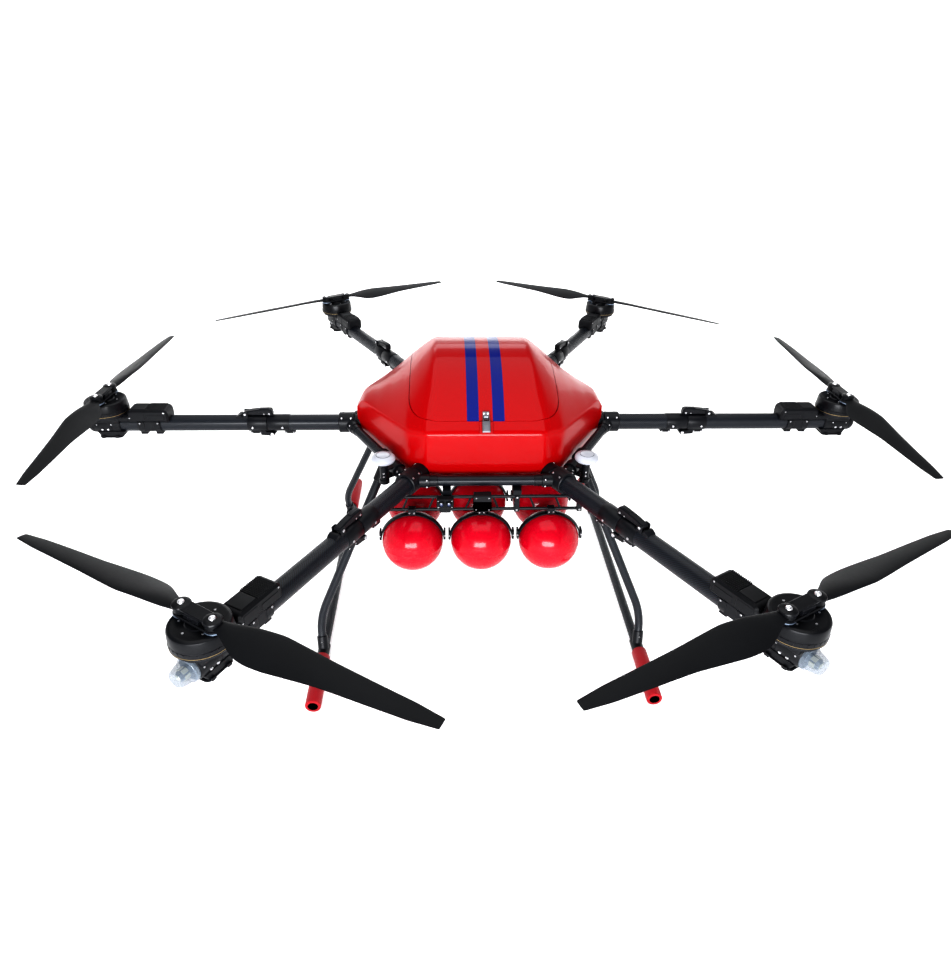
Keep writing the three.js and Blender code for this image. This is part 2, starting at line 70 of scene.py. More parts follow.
def light_panel(name, place, aim, size, power, colour):
    panel = bpy.data.lights.new(name, "AREA")
    panel.shape = "RECTANGLE"
    panel.size, panel.size_y = size
    panel.energy = power
    panel.color = colour
    stand = bpy.data.objects.new(name, panel)
    stand.location = place
    stand.rotation_mode = "QUATERNION"
    stand.rotation_quaternion = (Vector(aim) - Vector(place)).to_track_quat("-Z", "Y")
    scene.collection.objects.link(stand)


light_panel("front_window", (-0.5, -4.2, 1.3), (0, 0, 0.6), (3.0, 1.2), 230, (0.95, 0.97, 1.0))
light_panel("back_panel", (-0.5, 4.6, 3.3), (0, 0, 0.7), (3.0, 1.0), 30, (0.95, 0.97, 1.0))
light_panel("ceiling", (0, 0.4, 4.4), (0, 0, 0), (5.0, 5.0), 125, (1.0, 1.0, 1.0))
light_panel("wall_wash", (0, 5.2, 4.6), (0, 8.5, 0.6), (16.0, 1.0), 700, (1.0, 1.0, 1.0))
scene.view_settings.view_transform = "Standard"
scene.view_settings.look = "High Contrast"


# ------------------------------------------------------------------ shader wires
# A wire is one socket of a finish. Sums and products of wires add their own Math nodes.

class Wire:
    def __init__(self, tree, socket=None):
        self.tree = tree
        self.socket = socket

    def add(self, kind, settings=None, inputs=None, output=0):
        node = self.tree.nodes.new(kind)
        for name, value in (settings or {}).items():
            if name == "stops":
                ramp = node.color_ramp.elements
                while len(ramp) < len(value):
                    ramp.new(0.5)
                for stop, (position, colour) in zip(ramp, value):
                    stop.position = position
                    stop.color = (*colour, 1)
            else:
                setattr(node, name, value)
        for name, value in (inputs or {}).items():
            if isinstance(value, Wire):
                self.tree.links.new(value.socket, node.inputs[name])
            else:
                node.inputs[name].default_value = value
        return Wire(self.tree, node.outputs[output] if len(node.outputs) else None)

    def math(self, operation, *values):
        return self.add("ShaderNodeMath", {"operation": operation}, dict(enumerate(values)))

    def __add__(self, other):
        return self.math("ADD", self, other)

    def __sub__(self, other):
        return self.math("SUBTRACT", self, other)

    def __rsub__(self, other):
        return self.math("SUBTRACT", other, self)

    def __mul__(self, other):
        return self.math("MULTIPLY", self, other)

    __radd__ = __add__
    __rmul__ = __mul__

    def above(self, edge, blur):
        return self.add("ShaderNodeMapRange", {"interpolation_type": "SMOOTHSTEP"},
                        {"Value": self, "From Min": edge - blur, "From Max": edge + blur})

    def noise(self, scale, detail=3.0, rough=0.55):
        return self.add("ShaderNodeTexNoise", {},
                        {"Vector": self, "Scale": scale, "Detail": detail, "Roughness": rough})

    def mixed(self, first, second):
        return self.add("ShaderNodeMix", {"data_type": "RGBA"},
                        {"Factor": self, 6: colour_of(first), 7: colour_of(second)}, 2)

    def parts(self):
        split = self.tree.nodes.new("ShaderNodeSeparateXYZ")
        self.tree.links.new(self.socket, split.inputs[0])
        return [Wire(self.tree, out) for out in split.outputs]

    def bump(self, strength, distance):
        return self.add("ShaderNodeBump", {},
                        {"Height": self, "Strength": strength, "Distance": distance})


def colour_of(value):
    return value if isinstance(value, Wire) else (*value, 1)


def start_finish(name):
    material = bpy.data.materials.new(name)
    material.use_nodes = True
    material.node_tree.nodes.clear()
    tree = Wire(material.node_tree)
    places = tree.add("ShaderNodeTexCoord", output=3)
    return material, tree, places


def end_finish(tree, colour, roughness, **rest):
    inputs = {"Base Color": colour_of(colour), "Roughness": roughness}
    inputs.update({name.replace("_", " "): value for name, value in rest.items()})
    skin = tree.add("ShaderNodeBsdfPrincipled", inputs=inputs)
    tree.add("ShaderNodeOutputMaterial", inputs={"Surface": skin})


def plain_finish(name, noise, dark, light, roughness, vary, bump=None, **rest):
    """A finish whose colour, roughness and bump all follow one noise."""
    material, tree, places = start_finish(name)
    cloud = places.noise(*noise)
    if bump:
        rest["Normal"] = cloud.bump(*bump)
    end_finish(tree, cloud.mixed(dark, light), roughness + vary * cloud if vary else roughness, **rest)
    return material


# ------------------------------------------------------------------ floor and surroundings
# Painted studio sweep: flat under the drone, curving up behind it. The room round it is
# bright near the horizon and dim overhead.

world = bpy.data.worlds.new("studio")
world.use_nodes = True
world.node_tree.nodes.clear()
room = Wire(world.node_tree)
height = room.add("ShaderNodeTexCoord").parts()[2]
glow = height.above(0.42, 0.07).mixed((0.95, 0.95, 0.95), (0.20, 0.205, 0.215))
backdrop = room.add("ShaderNodeBackground", inputs={"Color": glow})
room.add("ShaderNodeOutputWorld", inputs={"Surface": backdrop})
scene.world = world

floor_paint = plain_finish("floor_paint", (0.6,), (0.91, 0.91, 0.91), (0.94, 0.94, 0.94), 0.75, 0,
                           Emission_Color=(1, 1, 1, 1), Emission_Strength=0.25)
SWEEP_HALF, SWEEP_FRONT, SWEEP_BEND, SWEEP_RADIUS = 14.0, -9.0, 6.3, 2.2
sweep_line = [(SWEEP_FRONT, 0.0), (SWEEP_BEND, 0.0)]
for step in range(1, 25):
    bend = math.radians(90 * step / 24)
    sweep_line.append((SWEEP_BEND + SWEEP_RADIUS * math.sin(bend), SWEEP_RADIUS * (1 - math.cos(bend))))
sweep_mesh = bpy.data.meshes.new("floor")
sweep_mesh.from_pydata([(side * SWEEP_HALF, y, z) for y, z in sweep_line for side in (-1, 1)], [],
                       [(2 * n, 2 * n + 1, 2 * n + 3, 2 * n + 2) for n in range(len(sweep_line) - 1)])
sweep_mesh.shade_smooth()
sweep_mesh.materials.append(floor_paint)
floor = bpy.data.objects.new("floor", sweep_mesh)
scene.collection.objects.link(floor)


# ------------------------------------------------------------------ ring frame
# Hexagon of six woven carbon tubes that ends in black anodised clamps round the arms, with
# smooth black sleeves where the front tube enters its clamps.

class Stock:
    """The corners, faces and finish numbers of one piece while it is being made, in mm."""

    def __init__(self, place=Matrix()):
        self.place = place
        self.points, self.faces, self.spread, self.finish = [], [], [], []

    def loft(self, rings, finish=0, caps=True):
        """Skins equal rings of points; its pattern map runs round and along, in mm."""
        rings = np.asarray(rings, float)
        count = rings.shape[1]
        first = len(self.points)
        self.points.extend(map(tuple, rings.reshape(-1, 3)))
        middle = rings[len(rings) // 2]
        sides = np.linalg.norm(np.roll(middle, -1, 0) - middle, axis=1)
        around = np.concatenate([[0], np.cumsum(sides)])
        centres = rings.mean(axis=1)
        along = np.concatenate([[0], np.cumsum(np.linalg.norm(np.diff(centres, axis=0), axis=1))])
        for r in range(len(rings) - 1):
            for p in range(count):
                q = (p + 1) % count
                a, b = first + r * count, first + (r + 1) * count
                self.faces.append((a + p, a + q, b + q, b + p))
                self.spread.extend([(around[p], along[r]), (around[p + 1], along[r]),
                                    (around[p + 1], along[r + 1]), (around[p], along[r + 1])])
                self.finish.append(finish)
        if caps:
            last = first + (len(rings) - 1) * count
            for start in (first, last):
                self.faces.append(tuple(range(start, start + count)))
                self.spread.extend([(around[n], along[0]) for n in range(count)])
                self.finish.append(finish)

    def rod(self, start, end, radius, sides=32, chamfer=0.0, finish=0):
        start, end = np.array(start, float), np.array(end, float)
        way = end - start
        length = np.linalg.norm(way)
        stops = [(0, radius), (length, radius)]
        if chamfer:
            stops = [(0, radius - chamfer), (chamfer, radius),
                     (length - chamfer, radius), (length, radius - chamfer)]
        self.turned(start, way / length, stops, sides, finish)

    def turned(self, start, axis, stops, sides=32, finish=0):
        """A turned shape from (distance along, radius) stops."""
        axis = np.array(axis, float)
        side = np.cross(axis, (0, 0, 1) if abs(axis[2]) < 0.9 else (1, 0, 0))
        side /= np.linalg.norm(side)
        other = np.cross(axis, side)
        rings = []
        for distance, radius in stops:
            angles = np.linspace(0, 2 * math.pi, sides, endpoint=False)
            circle = np.outer(np.cos(angles), side) + np.outer(np.sin(angles), other)
            rings.append(np.array(start, float) + axis * distance + circle * max(radius, 0.01))
        self.loft(rings, finish)

    def band(self, start, axis, length, bore, lip, radius, edge=1, sides=32, finish=0):
        """An open ring round a tube, with its outer edges rounded off to the lip."""
        self.turned(start, axis, [(0, bore), (0, lip), (edge, radius), (length - edge, radius),
                                  (length, lip), (length, bore), (0, bore)], sides, finish)

    def tube(self, path, radius, sides=28, finish=0):
        """A round tube along a path of points."""
        path = np.asarray(path, float)
        ways = np.gradient(path, axis=0)
        ways /= np.linalg.norm(ways, axis=1)[:, None]
        side = np.cross(ways[0], (0, 1, 0) if abs(ways[0][1]) < 0.9 else (1, 0, 0))
        rings = []
        angles = np.linspace(0, 2 * math.pi, sides, endpoint=False)
        for point, way in zip(path, ways):
            side = side - way * side.dot(way)
            side /= np.linalg.norm(side)
            other = np.cross(way, side)
            circle = np.outer(np.cos(angles), side) + np.outer(np.sin(angles), other)
            rings.append(point + radius * circle)
        self.loft(rings, finish)

    def plate(self, outline, low, high, chamfer=1.0, plane="xy", finish=0):
        """An outline extruded between two levels, with chamfered edges. The outline lies in
        the named plane and the levels are along the remaining axis."""
        outline = np.asarray(outline, float)
        area = np.cross(outline, np.roll(outline, -1, 0)).sum()
        if area < 0:
            outline = outline[::-1]
        back = outline - np.roll(outline, 1, 0)
        front = np.roll(outline, -1, 0) - outline
        back /= np.linalg.norm(back, axis=1)[:, None]
        front /= np.linalg.norm(front, axis=1)[:, None]
        inward = np.stack([-(back + front)[:, 1], (back + front)[:, 0]], 1)
        inward /= np.maximum(1.0, (inward ** 2).sum(1) / 2)[:, None]
        small = outline + inward * chamfer
        rings = []
        for shape, level in ((small, low), (outline, low + chamfer),
                             (outline, high - chamfer), (small, high)):
            columns = list(shape.T)
            columns.insert({"xy": 2, "xz": 1, "yz": 0}[plane], np.full(len(shape), level))
            rings.append(np.stack(columns, 1))
        self.loft(rings, finish)

    def soft_plate(self, outline, reach, low, high, chamfer=1.0, plane="xz", finish=0):
        """A plate whose corners are rounded too."""
        self.plate(rounded_outline(outline, reach), low, high, chamfer, plane, finish)

    def block(self, x, y, z, chamfer=1.0, finish=0):
        self.plate(box(x[0], y[0], x[1], y[1]), z[0], z[1], chamfer, "xy", finish)

    def made(self, name, materials, sharp=38):
        mesh = bpy.data.meshes.new(name)
        points = np.array(self.points) * 0.001
        turned = points @ np.array(self.place.to_3x3()).T + np.array(self.place.translation)
        mesh.from_pydata(turned.tolist(), [], self.faces)
        pattern = mesh.uv_layers.new(name="spread")
        pattern.data.foreach_set("uv", (np.array(self.spread) * 0.001).ravel())
        mesh.polygons.foreach_set("material_index", self.finish)
        for material in materials:
            mesh.materials.append(material)
        outward(mesh)
        mesh.shade_smooth()
        mesh.set_sharp_from_angle(angle=math.radians(sharp))
        piece = bpy.data.objects.new(name, mesh)
        scene.collection.objects.link(piece)
        return piece


def box(left, low, right, high):
    return [(left, low), (right, low), (right, high), (left, high)]


def curve(start, bend, end, steps):
    """Points of a curve that leaves its start and meets its end along lines through the bend."""
    t = np.linspace(0, 1, steps)[:, None]
    return (1 - t) ** 2 * start + 2 * t * (1 - t) * bend + t ** 2 * end


def rounded(before, at, after, reach, steps=7):
    """Points of a soft corner at one point between two others."""
    before, at, after = (np.array(p, float) for p in (before, at, after))
    start = at + (before - at) * min(0.45, reach / np.linalg.norm(before - at))
    end = at + (after - at) * min(0.45, reach / np.linalg.norm(after - at))
    return list(curve(start, at, end, steps))


def rounded_outline(points, reach=2.0):
    """A closed outline with every corner rounded."""
    soft = []
    for n, point in enumerate(points):
        after = points[(n + 1) % len(points)]
        soft += [tuple(p) for p in rounded(points[n - 1], point, after, reach, 5)]
    return soft


def outward(mesh):
    shell = bmesh.new()
    shell.from_mesh(mesh)
    bmesh.ops.recalc_face_normals(shell, faces=shell.faces)
    shell.to_mesh(mesh)
    shell.free()


def settle(piece, body, slot, *nodes):
    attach(piece, body)
    if nodes:
        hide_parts(*nodes)


TOW_WIDTH = 0.0015


def carbon_finish(name, pattern_from=None):
    """Twill-woven carbon tows under clear resin; the over tows are painted lighter and bluish, partly the
    real weave and partly a painted blue sheen.
    """
    material, tree, places = start_finish(name)
    if pattern_from:
        places = tree.add("ShaderNodeUVMap", {"uv_map": pattern_from})
    across, along, _ = places.parts()
    tow = 1 / TOW_WIDTH
    u, v = across * tow, along * tow
    cell = u.math("FLOOR", u) + v.math("FLOOR", v)
    over = cell.math("LESS_THAN", cell.math("MODULO", cell, 4.0), 1.5)
    ridge_u, ridge_v = (w.math("ABSOLUTE", w.math("SINE", w * math.pi)) for w in (u, v))
    ridge = over * ridge_u + (1 - over) * ridge_v
    cloud = places.noise(40)
    # Painted sheen: the over tows' lighter bluish colour stands in for the blue highlight along the tubes;
    # the over and under pattern is the real weave.
    base = over.mixed((0.002, 0.0024, 0.003), (0.008, 0.011, 0.018))
    end_finish(tree, base, 0.30 + 0.14 * over + 0.08 * cloud, Specular_IOR_Level=0.2,
               Coat_Weight=0.22, Coat_Roughness=0.2, Normal=ridge.bump(0.5, 0.0004))
    return material


def moulded_finish(name, colour, roughness, grain=900, metal=0.0, coat=0.0):
    """Fine-grained moulding or satin anodising, a little lighter where edges are rubbed."""
    material, tree, places = start_finish(name)
    speck = places.noise(grain)
    smear = places.noise(14)
    tone = smear.mixed(tuple(c * 0.8 for c in colour), tuple(c * 1.3 for c in colour))
    rubbed = tree.add("ShaderNodeNewGeometry", output=7).above(0.56, 0.05)
    base = (rubbed * 0.3).mixed(tone, tuple(min(1, c * 2 + 0.004) for c in colour))
    end_finish(tree, base, roughness + 0.16 * smear - 0.08, Metallic=metal, Coat_Weight=coat,
               Specular_IOR_Level=0.2, Normal=speck.bump(0.12, 0.0003))
    return material


carbon_tube = carbon_finish("carbon_tube", "spread")
carbon_plate = carbon_finish("carbon_plate")
anodised = moulded_finish("black_anodised", (0.004, 0.0044, 0.006), 0.36, 1500)
black_plastic = moulded_finish("black_plastic", (0.004, 0.0043, 0.0055), 0.45)
steel = plain_finish("stainless", (260, 2), (0.58, 0.58, 0.6), (0.75, 0.75, 0.77), 0.18, 0.2,
                     (0.1, 0.0002), Metallic=1.0)

ARM_NAMES = ["right", "back_right", "back_left", "left", "front_left", "front_right"]
AZIMUTHS = [0, 60, 120, 180, 240, 300]
FORWARD, UP = (1, 0, 0), (0, 0, 1)
airframe = Matrix.Translation((0, 0, AXIS))
RING_REACH, RING_RADIUS = 362, 12.5


def corner(azimuth, reach, z=0.0):
    a = math.radians(azimuth)
    return np.array([reach * math.cos(a), reach * math.sin(a), z])


ring = Stock(airframe)
screw_sites = {}


def screw(body, place, point, facing, radius=3.0):
    """Notes a cap screw's seat on a body, to be set in by the screw tree below."""
    site = place @ (Vector(point) * 0.001)
    screw_sites.setdefault(body, []).append((site, place.to_3x3() @ Vector(facing), radius * 0.001))


for azimuth in AZIMUTHS:
    a, b = corner(azimuth, RING_REACH), corner(azimuth + 60, RING_REACH)
    way = (b - a) / np.linalg.norm(b - a)
    ring.rod(a + way * 22, b - way * 22, RING_RADIUS, 32)
    for end, inwards in ((a, way), (b, -way)):
        ring.rod(end + inwards * 14, end + inwards * 48, RING_RADIUS + 3.5, 32, 1.5, 1)
        ring.rod(end + inwards * 46, end + inwards * 66, RING_RADIUS + 1.4, 32, 0.8, 1)
        out = np.cross(way, (0, 0, 1))
        for lift in (-9, 9):
            screw("airframe", airframe, end + inwards * 40 + out * 13.6 + (0, 0, lift), out, 2.0)
    ring.band(corner(azimuth, 343), corner(azimuth, 1), 43, 21.4, 26, 27.8, 1.5, 40, 1)
    ring.rod(corner(azimuth, 262), corner(azimuth, 338), 23.8, 40, 1.2, 1)
    out, side = corner(azimuth, 1), corner(azimuth + 90, 1)
    for reach in (352, 377):
        for across in (-1, 1):
            screw("airframe", airframe, out * reach + side * across * 19 + (0, 0, 20.6),
                  side * across * 0.6 + (0, 0, 0.8), 2.4)
for azimuth, way in ((240, 1), (300, -1)):
    end = corner(azimuth, RING_REACH)
    ring.rod(end + (16 * way, 0, 0), end + (66 * way, 0, 0), RING_RADIUS + 1.0, 32, 0.6, 1)
settle(ring.made("ring_tubes", [carbon_tube, anodised]), "airframe", "carbon", "ring_frame")

# ------------------------------------------------------------------ decks and batteries
# Two hexagonal carbon plates with tube blocks between them, and two shrink-wrapped battery
# bricks strapped on a tray under the hood.

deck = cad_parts["centre_deck"]
deck.data.materials.clear()
deck.data.materials.append(carbon_plate)
shrink_wrap = plain_finish("battery_wrap", (60, 4), (0.012, 0.03, 0.11), (0.02, 0.05, 0.17), 0.28, 0.2,
                           (0.4, 0.002), Coat_Weight=0.4)
packs = Stock(airframe)
for side in (-1, 1):
    x = sorted((3 * side, 93 * side))
    packs.block(x, (-118, 118), (29, 148), 5)
    for y in (-70, 60):
        packs.block((x[0] - 1, x[1] + 1), (y - 12, y + 12), (28.6, 149.4), 5.5, 1)
packs.block((-95, 95), (-122, 122), (25.4, 28.5), 0.8, 1)
packs.rod((0, -140, 40), (0, -100, 40), 7, 20, 1, 1)
settle(packs.made("batteries", [shrink_wrap, black_plastic]), "airframe", "battery_blue", "battery_pack")


# ------------------------------------------------------------------ hood
# Glass-fibre shell in deep red lacquer. The lid is cut from the same moulding with a thin
# even gap and carries two blue stripes; a dark gasket lip lies under the gap.

HOOD_DEPTH = [(0, 283), (143, 283), (190, 250), (330, 18), (334, 14)]
HOOD_WALL = [(0, 107), (140, 107), (190, 99), (316, 84), (328, 64), (334, 48)]
HOOD_TOP = [(0, 227.5), (121, 227.5), (130, 222), (165, 193), (200, 160), (235, 131),
            (280, 101), (316, 84), (328, 64), (334, 48)]
HOOD_HALF, HOOD_SKIN = 333.5, 3
LID_X, LID_Y, LID_CORNER_X, LID_CORNER_Y, LID_GAP = 186, 252, 72, 100, 1.3


def softened(table, blur):
    """A table of (x, value) as a smooth symmetric curve, sampled every half millimetre."""
    fine = np.arange(-400, 400.5, 0.5)
    xs, values = zip(*table)
    raw = np.interp(np.abs(fine), xs, values)
    kernel = np.exp(-0.5 * (np.arange(-60, 61) * 0.5 / blur) ** 2)
    smooth = np.convolve(np.pad(raw, 60, "edge"), kernel / kernel.sum(), "valid")
    return lambda x: np.interp(x, fine, smooth)


hood_depth, hood_wall = softened(HOOD_DEPTH, 5), softened(HOOD_WALL, 5)
hood_top = softened(HOOD_TOP, 4.5)


def hood_section(x, inset):
    depth = hood_depth(x) - inset
    wall = hood_wall(x) - inset
    top = max(wall, hood_top(x) - inset)
    shoulder = depth - min(6, depth * 0.2)
    hem = depth - min(8, depth * 0.3)
    bottom = -40 if inset else -27
    v = np.linspace(-1, 1, 61)
    arch = np.stack([shoulder * v, wall + (top - wall) * (1 - np.abs(v) ** 1.9)], 1)
    front = [(-hem, bottom)] + rounded((-hem, bottom), (-depth, 0), (-shoulder, wall), 7)
    front += rounded((-depth, 0), (-shoulder, wall), tuple(arch[3]), 11, 9)
    back = [(-y, z) for y, z in reversed(front)]
    return [*front, *arch[3:-3], *back]


def hood_solid(name, inset):
    stock = Stock(airframe)
    half = HOOD_HALF - inset
    xs = np.concatenate([np.linspace(-half, -half + 30, 10)[:-1],
                         np.linspace(-half + 30, half - 30, 110),
                         np.linspace(half - 30, half, 10)[1:]])
    rings = [[(x, y, z) for y, z in hood_section(x * HOOD_HALF / half, inset)] for x in xs]
    stock.loft(rings)
    return stock.made(name, [])


def lid_outline(shrink):
    centre_x, centre_y = LID_X - shrink - LID_CORNER_X, LID_Y - shrink - LID_CORNER_Y
    points = []
    for quarter, (ox, oy) in enumerate([(1, 1), (-1, 1), (-1, -1), (1, -1)]):
        for angle in np.linspace(quarter * 90, quarter * 90 + 90, 14):
            a = math.radians(angle)
            points.append((ox * centre_x + LID_CORNER_X * math.cos(a),
                           oy * centre_y + LID_CORNER_Y * math.sin(a)))
    return points


def cutter(name, build):
    stock = Stock(airframe)
    build(stock)
    return stock.made(name, [])


def lid_cutter(name, shrink):
    return cutter(name, lambda stock: stock.plate(lid_outline(shrink), 40, 300, 0.01))


def result_of(piece):
    """A plain mesh of a piece with its modifiers applied."""
    return bpy.data.meshes.new_from_object(piece.evaluated_get(bpy.context.evaluated_depsgraph_get()))


def carve(piece, *tools):
    """Cuts a solid with others and applies the result."""
    for operation, tool in tools:
        step = piece.modifiers.new("cut", "BOOLEAN")
        step.operation, step.object, step.solver = operation, tool, "EXACT"
    shaped = result_of(piece)
    piece.modifiers.clear()
    piece.data = shaped
    shaped.name = piece.name


def notch_tool(stock):
    for azimuth in AZIMUTHS:
        stock.rod(corner(azimuth, 270), corner(azimuth, 360), 24.5, 40)


def slot_tool(azimuth):
    def build(stock):
        side = corner(azimuth + 90, 24.5)
        a, b = corner(azimuth, 270), corner(azimuth, 360)
        drop = (0, 0, -60)
        stock.loft([[p - side + drop, p + side + drop, p + side, p - side] for p in (a, b)])
    return build


shell = hood_solid("hood_outer", 0)
inner = hood_solid("hood_inner", HOOD_SKIN)
lid_prism, lid_plug = lid_cutter("lid_prism", 0), lid_cutter("lid_plug", LID_GAP)
notches = cutter("notches", notch_tool)
slots = [cutter(f"slot_{azimuth}", slot_tool(azimuth)) for azimuth in AZIMUTHS]
lid = bpy.data.objects.new("lid", shell.data.copy())
lip, lip_inner = hood_solid("lip", 3.4), hood_solid("lip_inner", 5.4)
lip_out, lip_in = lid_cutter("lip_out", -7), lid_cutter("lip_in", 8)
scene.collection.objects.link(lid)
carve(shell, *[("DIFFERENCE", tool) for tool in (inner, lid_prism, notches, *slots)])
carve(lid, ("DIFFERENCE", inner), ("INTERSECT", lid_plug))
carve(lip, ("DIFFERENCE", lip_inner), ("INTERSECT", lip_out), ("DIFFERENCE", lip_in))
for tool in (inner, lid_prism, lid_plug, notches, lip_inner, lip_out, lip_in, *slots):
    bpy.data.objects.remove(tool)


def lacquer(name, striped):
    """Deep red lacquer with a faint orange peel; the lid's has two blue stripes."""
    material, tree, places = start_finish(name)
    peel = places.noise(55, 2)
    drift = places.noise(3, 2)
    red = drift.mixed((0.27, 0.0002, 0.0016), (0.32, 0.0006, 0.0024))
    if striped:
        across = places.parts()[0]
        off = across.math("ABSOLUTE", across)
        band = off.above(0.0165, 0.0003) * (1 - off.above(0.045, 0.0003))
        red = band.mixed(red, (0.0003, 0.006, 0.13))
    dust = places.noise(420, 4, 0.7).above(0.72, 0.05)
    end_finish(tree, red, 0.24 + 0.12 * drift + 0.15 * dust, Specular_IOR_Level=0.05,
               Coat_Weight=0.22, Coat_Roughness=0.07, Normal=peel.bump(0.05, 0.002))
    return material


red_lacquer, striped_lacquer = lacquer("red_lacquer", False), lacquer("striped_lacquer", True)
for piece, name, finish, body, node in (
        (shell, "hood", red_lacquer, "airframe", "hood_shell"),
        (lid, "lid", striped_lacquer, "lid", "hood_lid"),
        (lip, "lid_gasket", black_plastic, "airframe", None)):
    piece.name = name
    piece.data.materials.clear()
    piece.data.materials.append(finish)
    piece.data.polygons.foreach_set("material_index", [0] * len(piece.data.polygons))
    piece.data.shade_smooth()
    piece.data.set_sharp_from_angle(angle=math.radians(28))
    settle(piece, body, "hood_red" if node else "black_plastic", *([node] if node else []))


# ------------------------------------------------------------------ toggle latch and hinges
# Stainless toggle latch on a raised red pad: the lever and its wire bail hook over a strike
# on the lid. Two small hinges at the back let the lid swing up.

dull_steel = moulded_finish("dull_steel", (0.11, 0.11, 0.12), 0.32, 900, 1.0)
latch_tilt = Matrix.Rotation(math.radians(39), 4, "X")
latch_place = airframe @ Matrix.Translation((0, -0.279, 0.1095)) @ latch_tilt
pad = Stock(latch_place)
pad.block((-16.5, 16.5), (-1, 30), (-2.5, 1.4), 1.4)
pad.block((-8, 8), (2, 29), (1.2, 2.4), 0.4, 1)
for y in (4.5, 9):
    for x in (-6, 6):
        pad.rod((x, y, 2.2), (x, y, 3.0), 1.6, 12, 0.3, 1)
settle(pad.made("latch_pad", [red_lacquer, dull_steel]), "airframe", "hood_red")

lever = Stock(latch_place)
lever.plate([(0, 2.6), (-1, 5.5), (2, 8.2), (8, 8.6), (20, 7.4), (27, 8), (30.5, 5.6), (30.5, 3.2),
             (6, 2.7)], -9.5, 9.5, 0.8, "yz")
lever.plate([(4, 8.2), (5, 9.6), (16, 8.8), (17, 7.4)], -6.2, 6.2, 0.6, "yz")
for side in (-1, 1):
    lever.tube([(side * 7, 20, 6.5), (side * 7, 30, 7), (side * 6.6, 38, 6.6), (side * 5, 41.5, 6.2),
                (0, 42.4, 6.0)], 1.2, 12)
settle(lever.made("latch_lever", [dull_steel]), "latch", "steel", "lid_latch")

strike = Stock(latch_place)
strike.block((-8, 8), (34.5, 55), (1.0, 2.3), 0.5)
strike.plate([(36.5, 2), (36.5, 8.2), (38, 9.4), (41, 9), (41.4, 8), (39.2, 7.6), (39.2, 2)],
             -5, 5, 0.3, "yz")
settle(strike.made("latch_strike", [dull_steel]), "lid", "steel")
for x in (-4.6, 4.6):
    screw("lid", latch_place, (x, 49, 2.2), (0, 0, 1), 2.7)

HINGE_Y, HINGE_Z = 262, 128
for side, label in ((-1, "left"), (1, "right")):
    fixed, moving = Stock(airframe), Stock(airframe)
    near, far = 48 * side, 92 * side
    third = (far - near) / 3
    for n, stock in enumerate((fixed, moving, fixed)):
        a, b = near + n * third, near + (n + 1) * third - 0.6 * side
        stock.rod((a, HINGE_Y, HINGE_Z), (b, HINGE_Y, HINGE_Z), 3.6, 20, 0.4)
        leaf = [(HINGE_Y, HINGE_Z - 1), (HINGE_Y, HINGE_Z + 2), (236, 140), (236, 137)]
        if stock is fixed:
            leaf = [(HINGE_Y - 3, 118), (HINGE_Y - 3, HINGE_Z), (HINGE_Y + 3, HINGE_Z), (HINGE_Y + 9, 114)]
        stock.plate(leaf, *sorted((a, b)), 0.3, "yz")
    settle(fixed.made(f"hinge_leaf_fixed_{label}", [steel]), "airframe", "steel")
    settle(moving.made(f"hinge_leaf_lid_{label}", [steel]), "lid", "steel")


# ------------------------------------------------------------------ arms
# Carbon tube in two halves that meet in black anodised collars. The outer half swings down
# on a silver pin and is locked by a humped lever on top.

TUBE_RADIUS, TUBE_START, TUBE_END, COLLAR_RADIUS = 22, 208, 1007, 23.2
PIN_X, PIN_Z = 569, -28
LEVER_X, LEVER_Z = 636, 30
arm_places = {name: airframe @ Matrix.Rotation(math.radians(a), 4, "Z")
              for name, a in zip(ARM_NAMES, AZIMUTHS)}


def foot(stock, start, end):
    """Clamp foot under a collar, with a cheek on either side."""
    stock.soft_plate(box(start, -14, end, 14), 3, -27, -12, 1.5, "xy", 1)
    stock.soft_plate(box(start + 5, -28.5, end - 5, -25), 1.2, -11, 11, 0.8, "xz", 1)


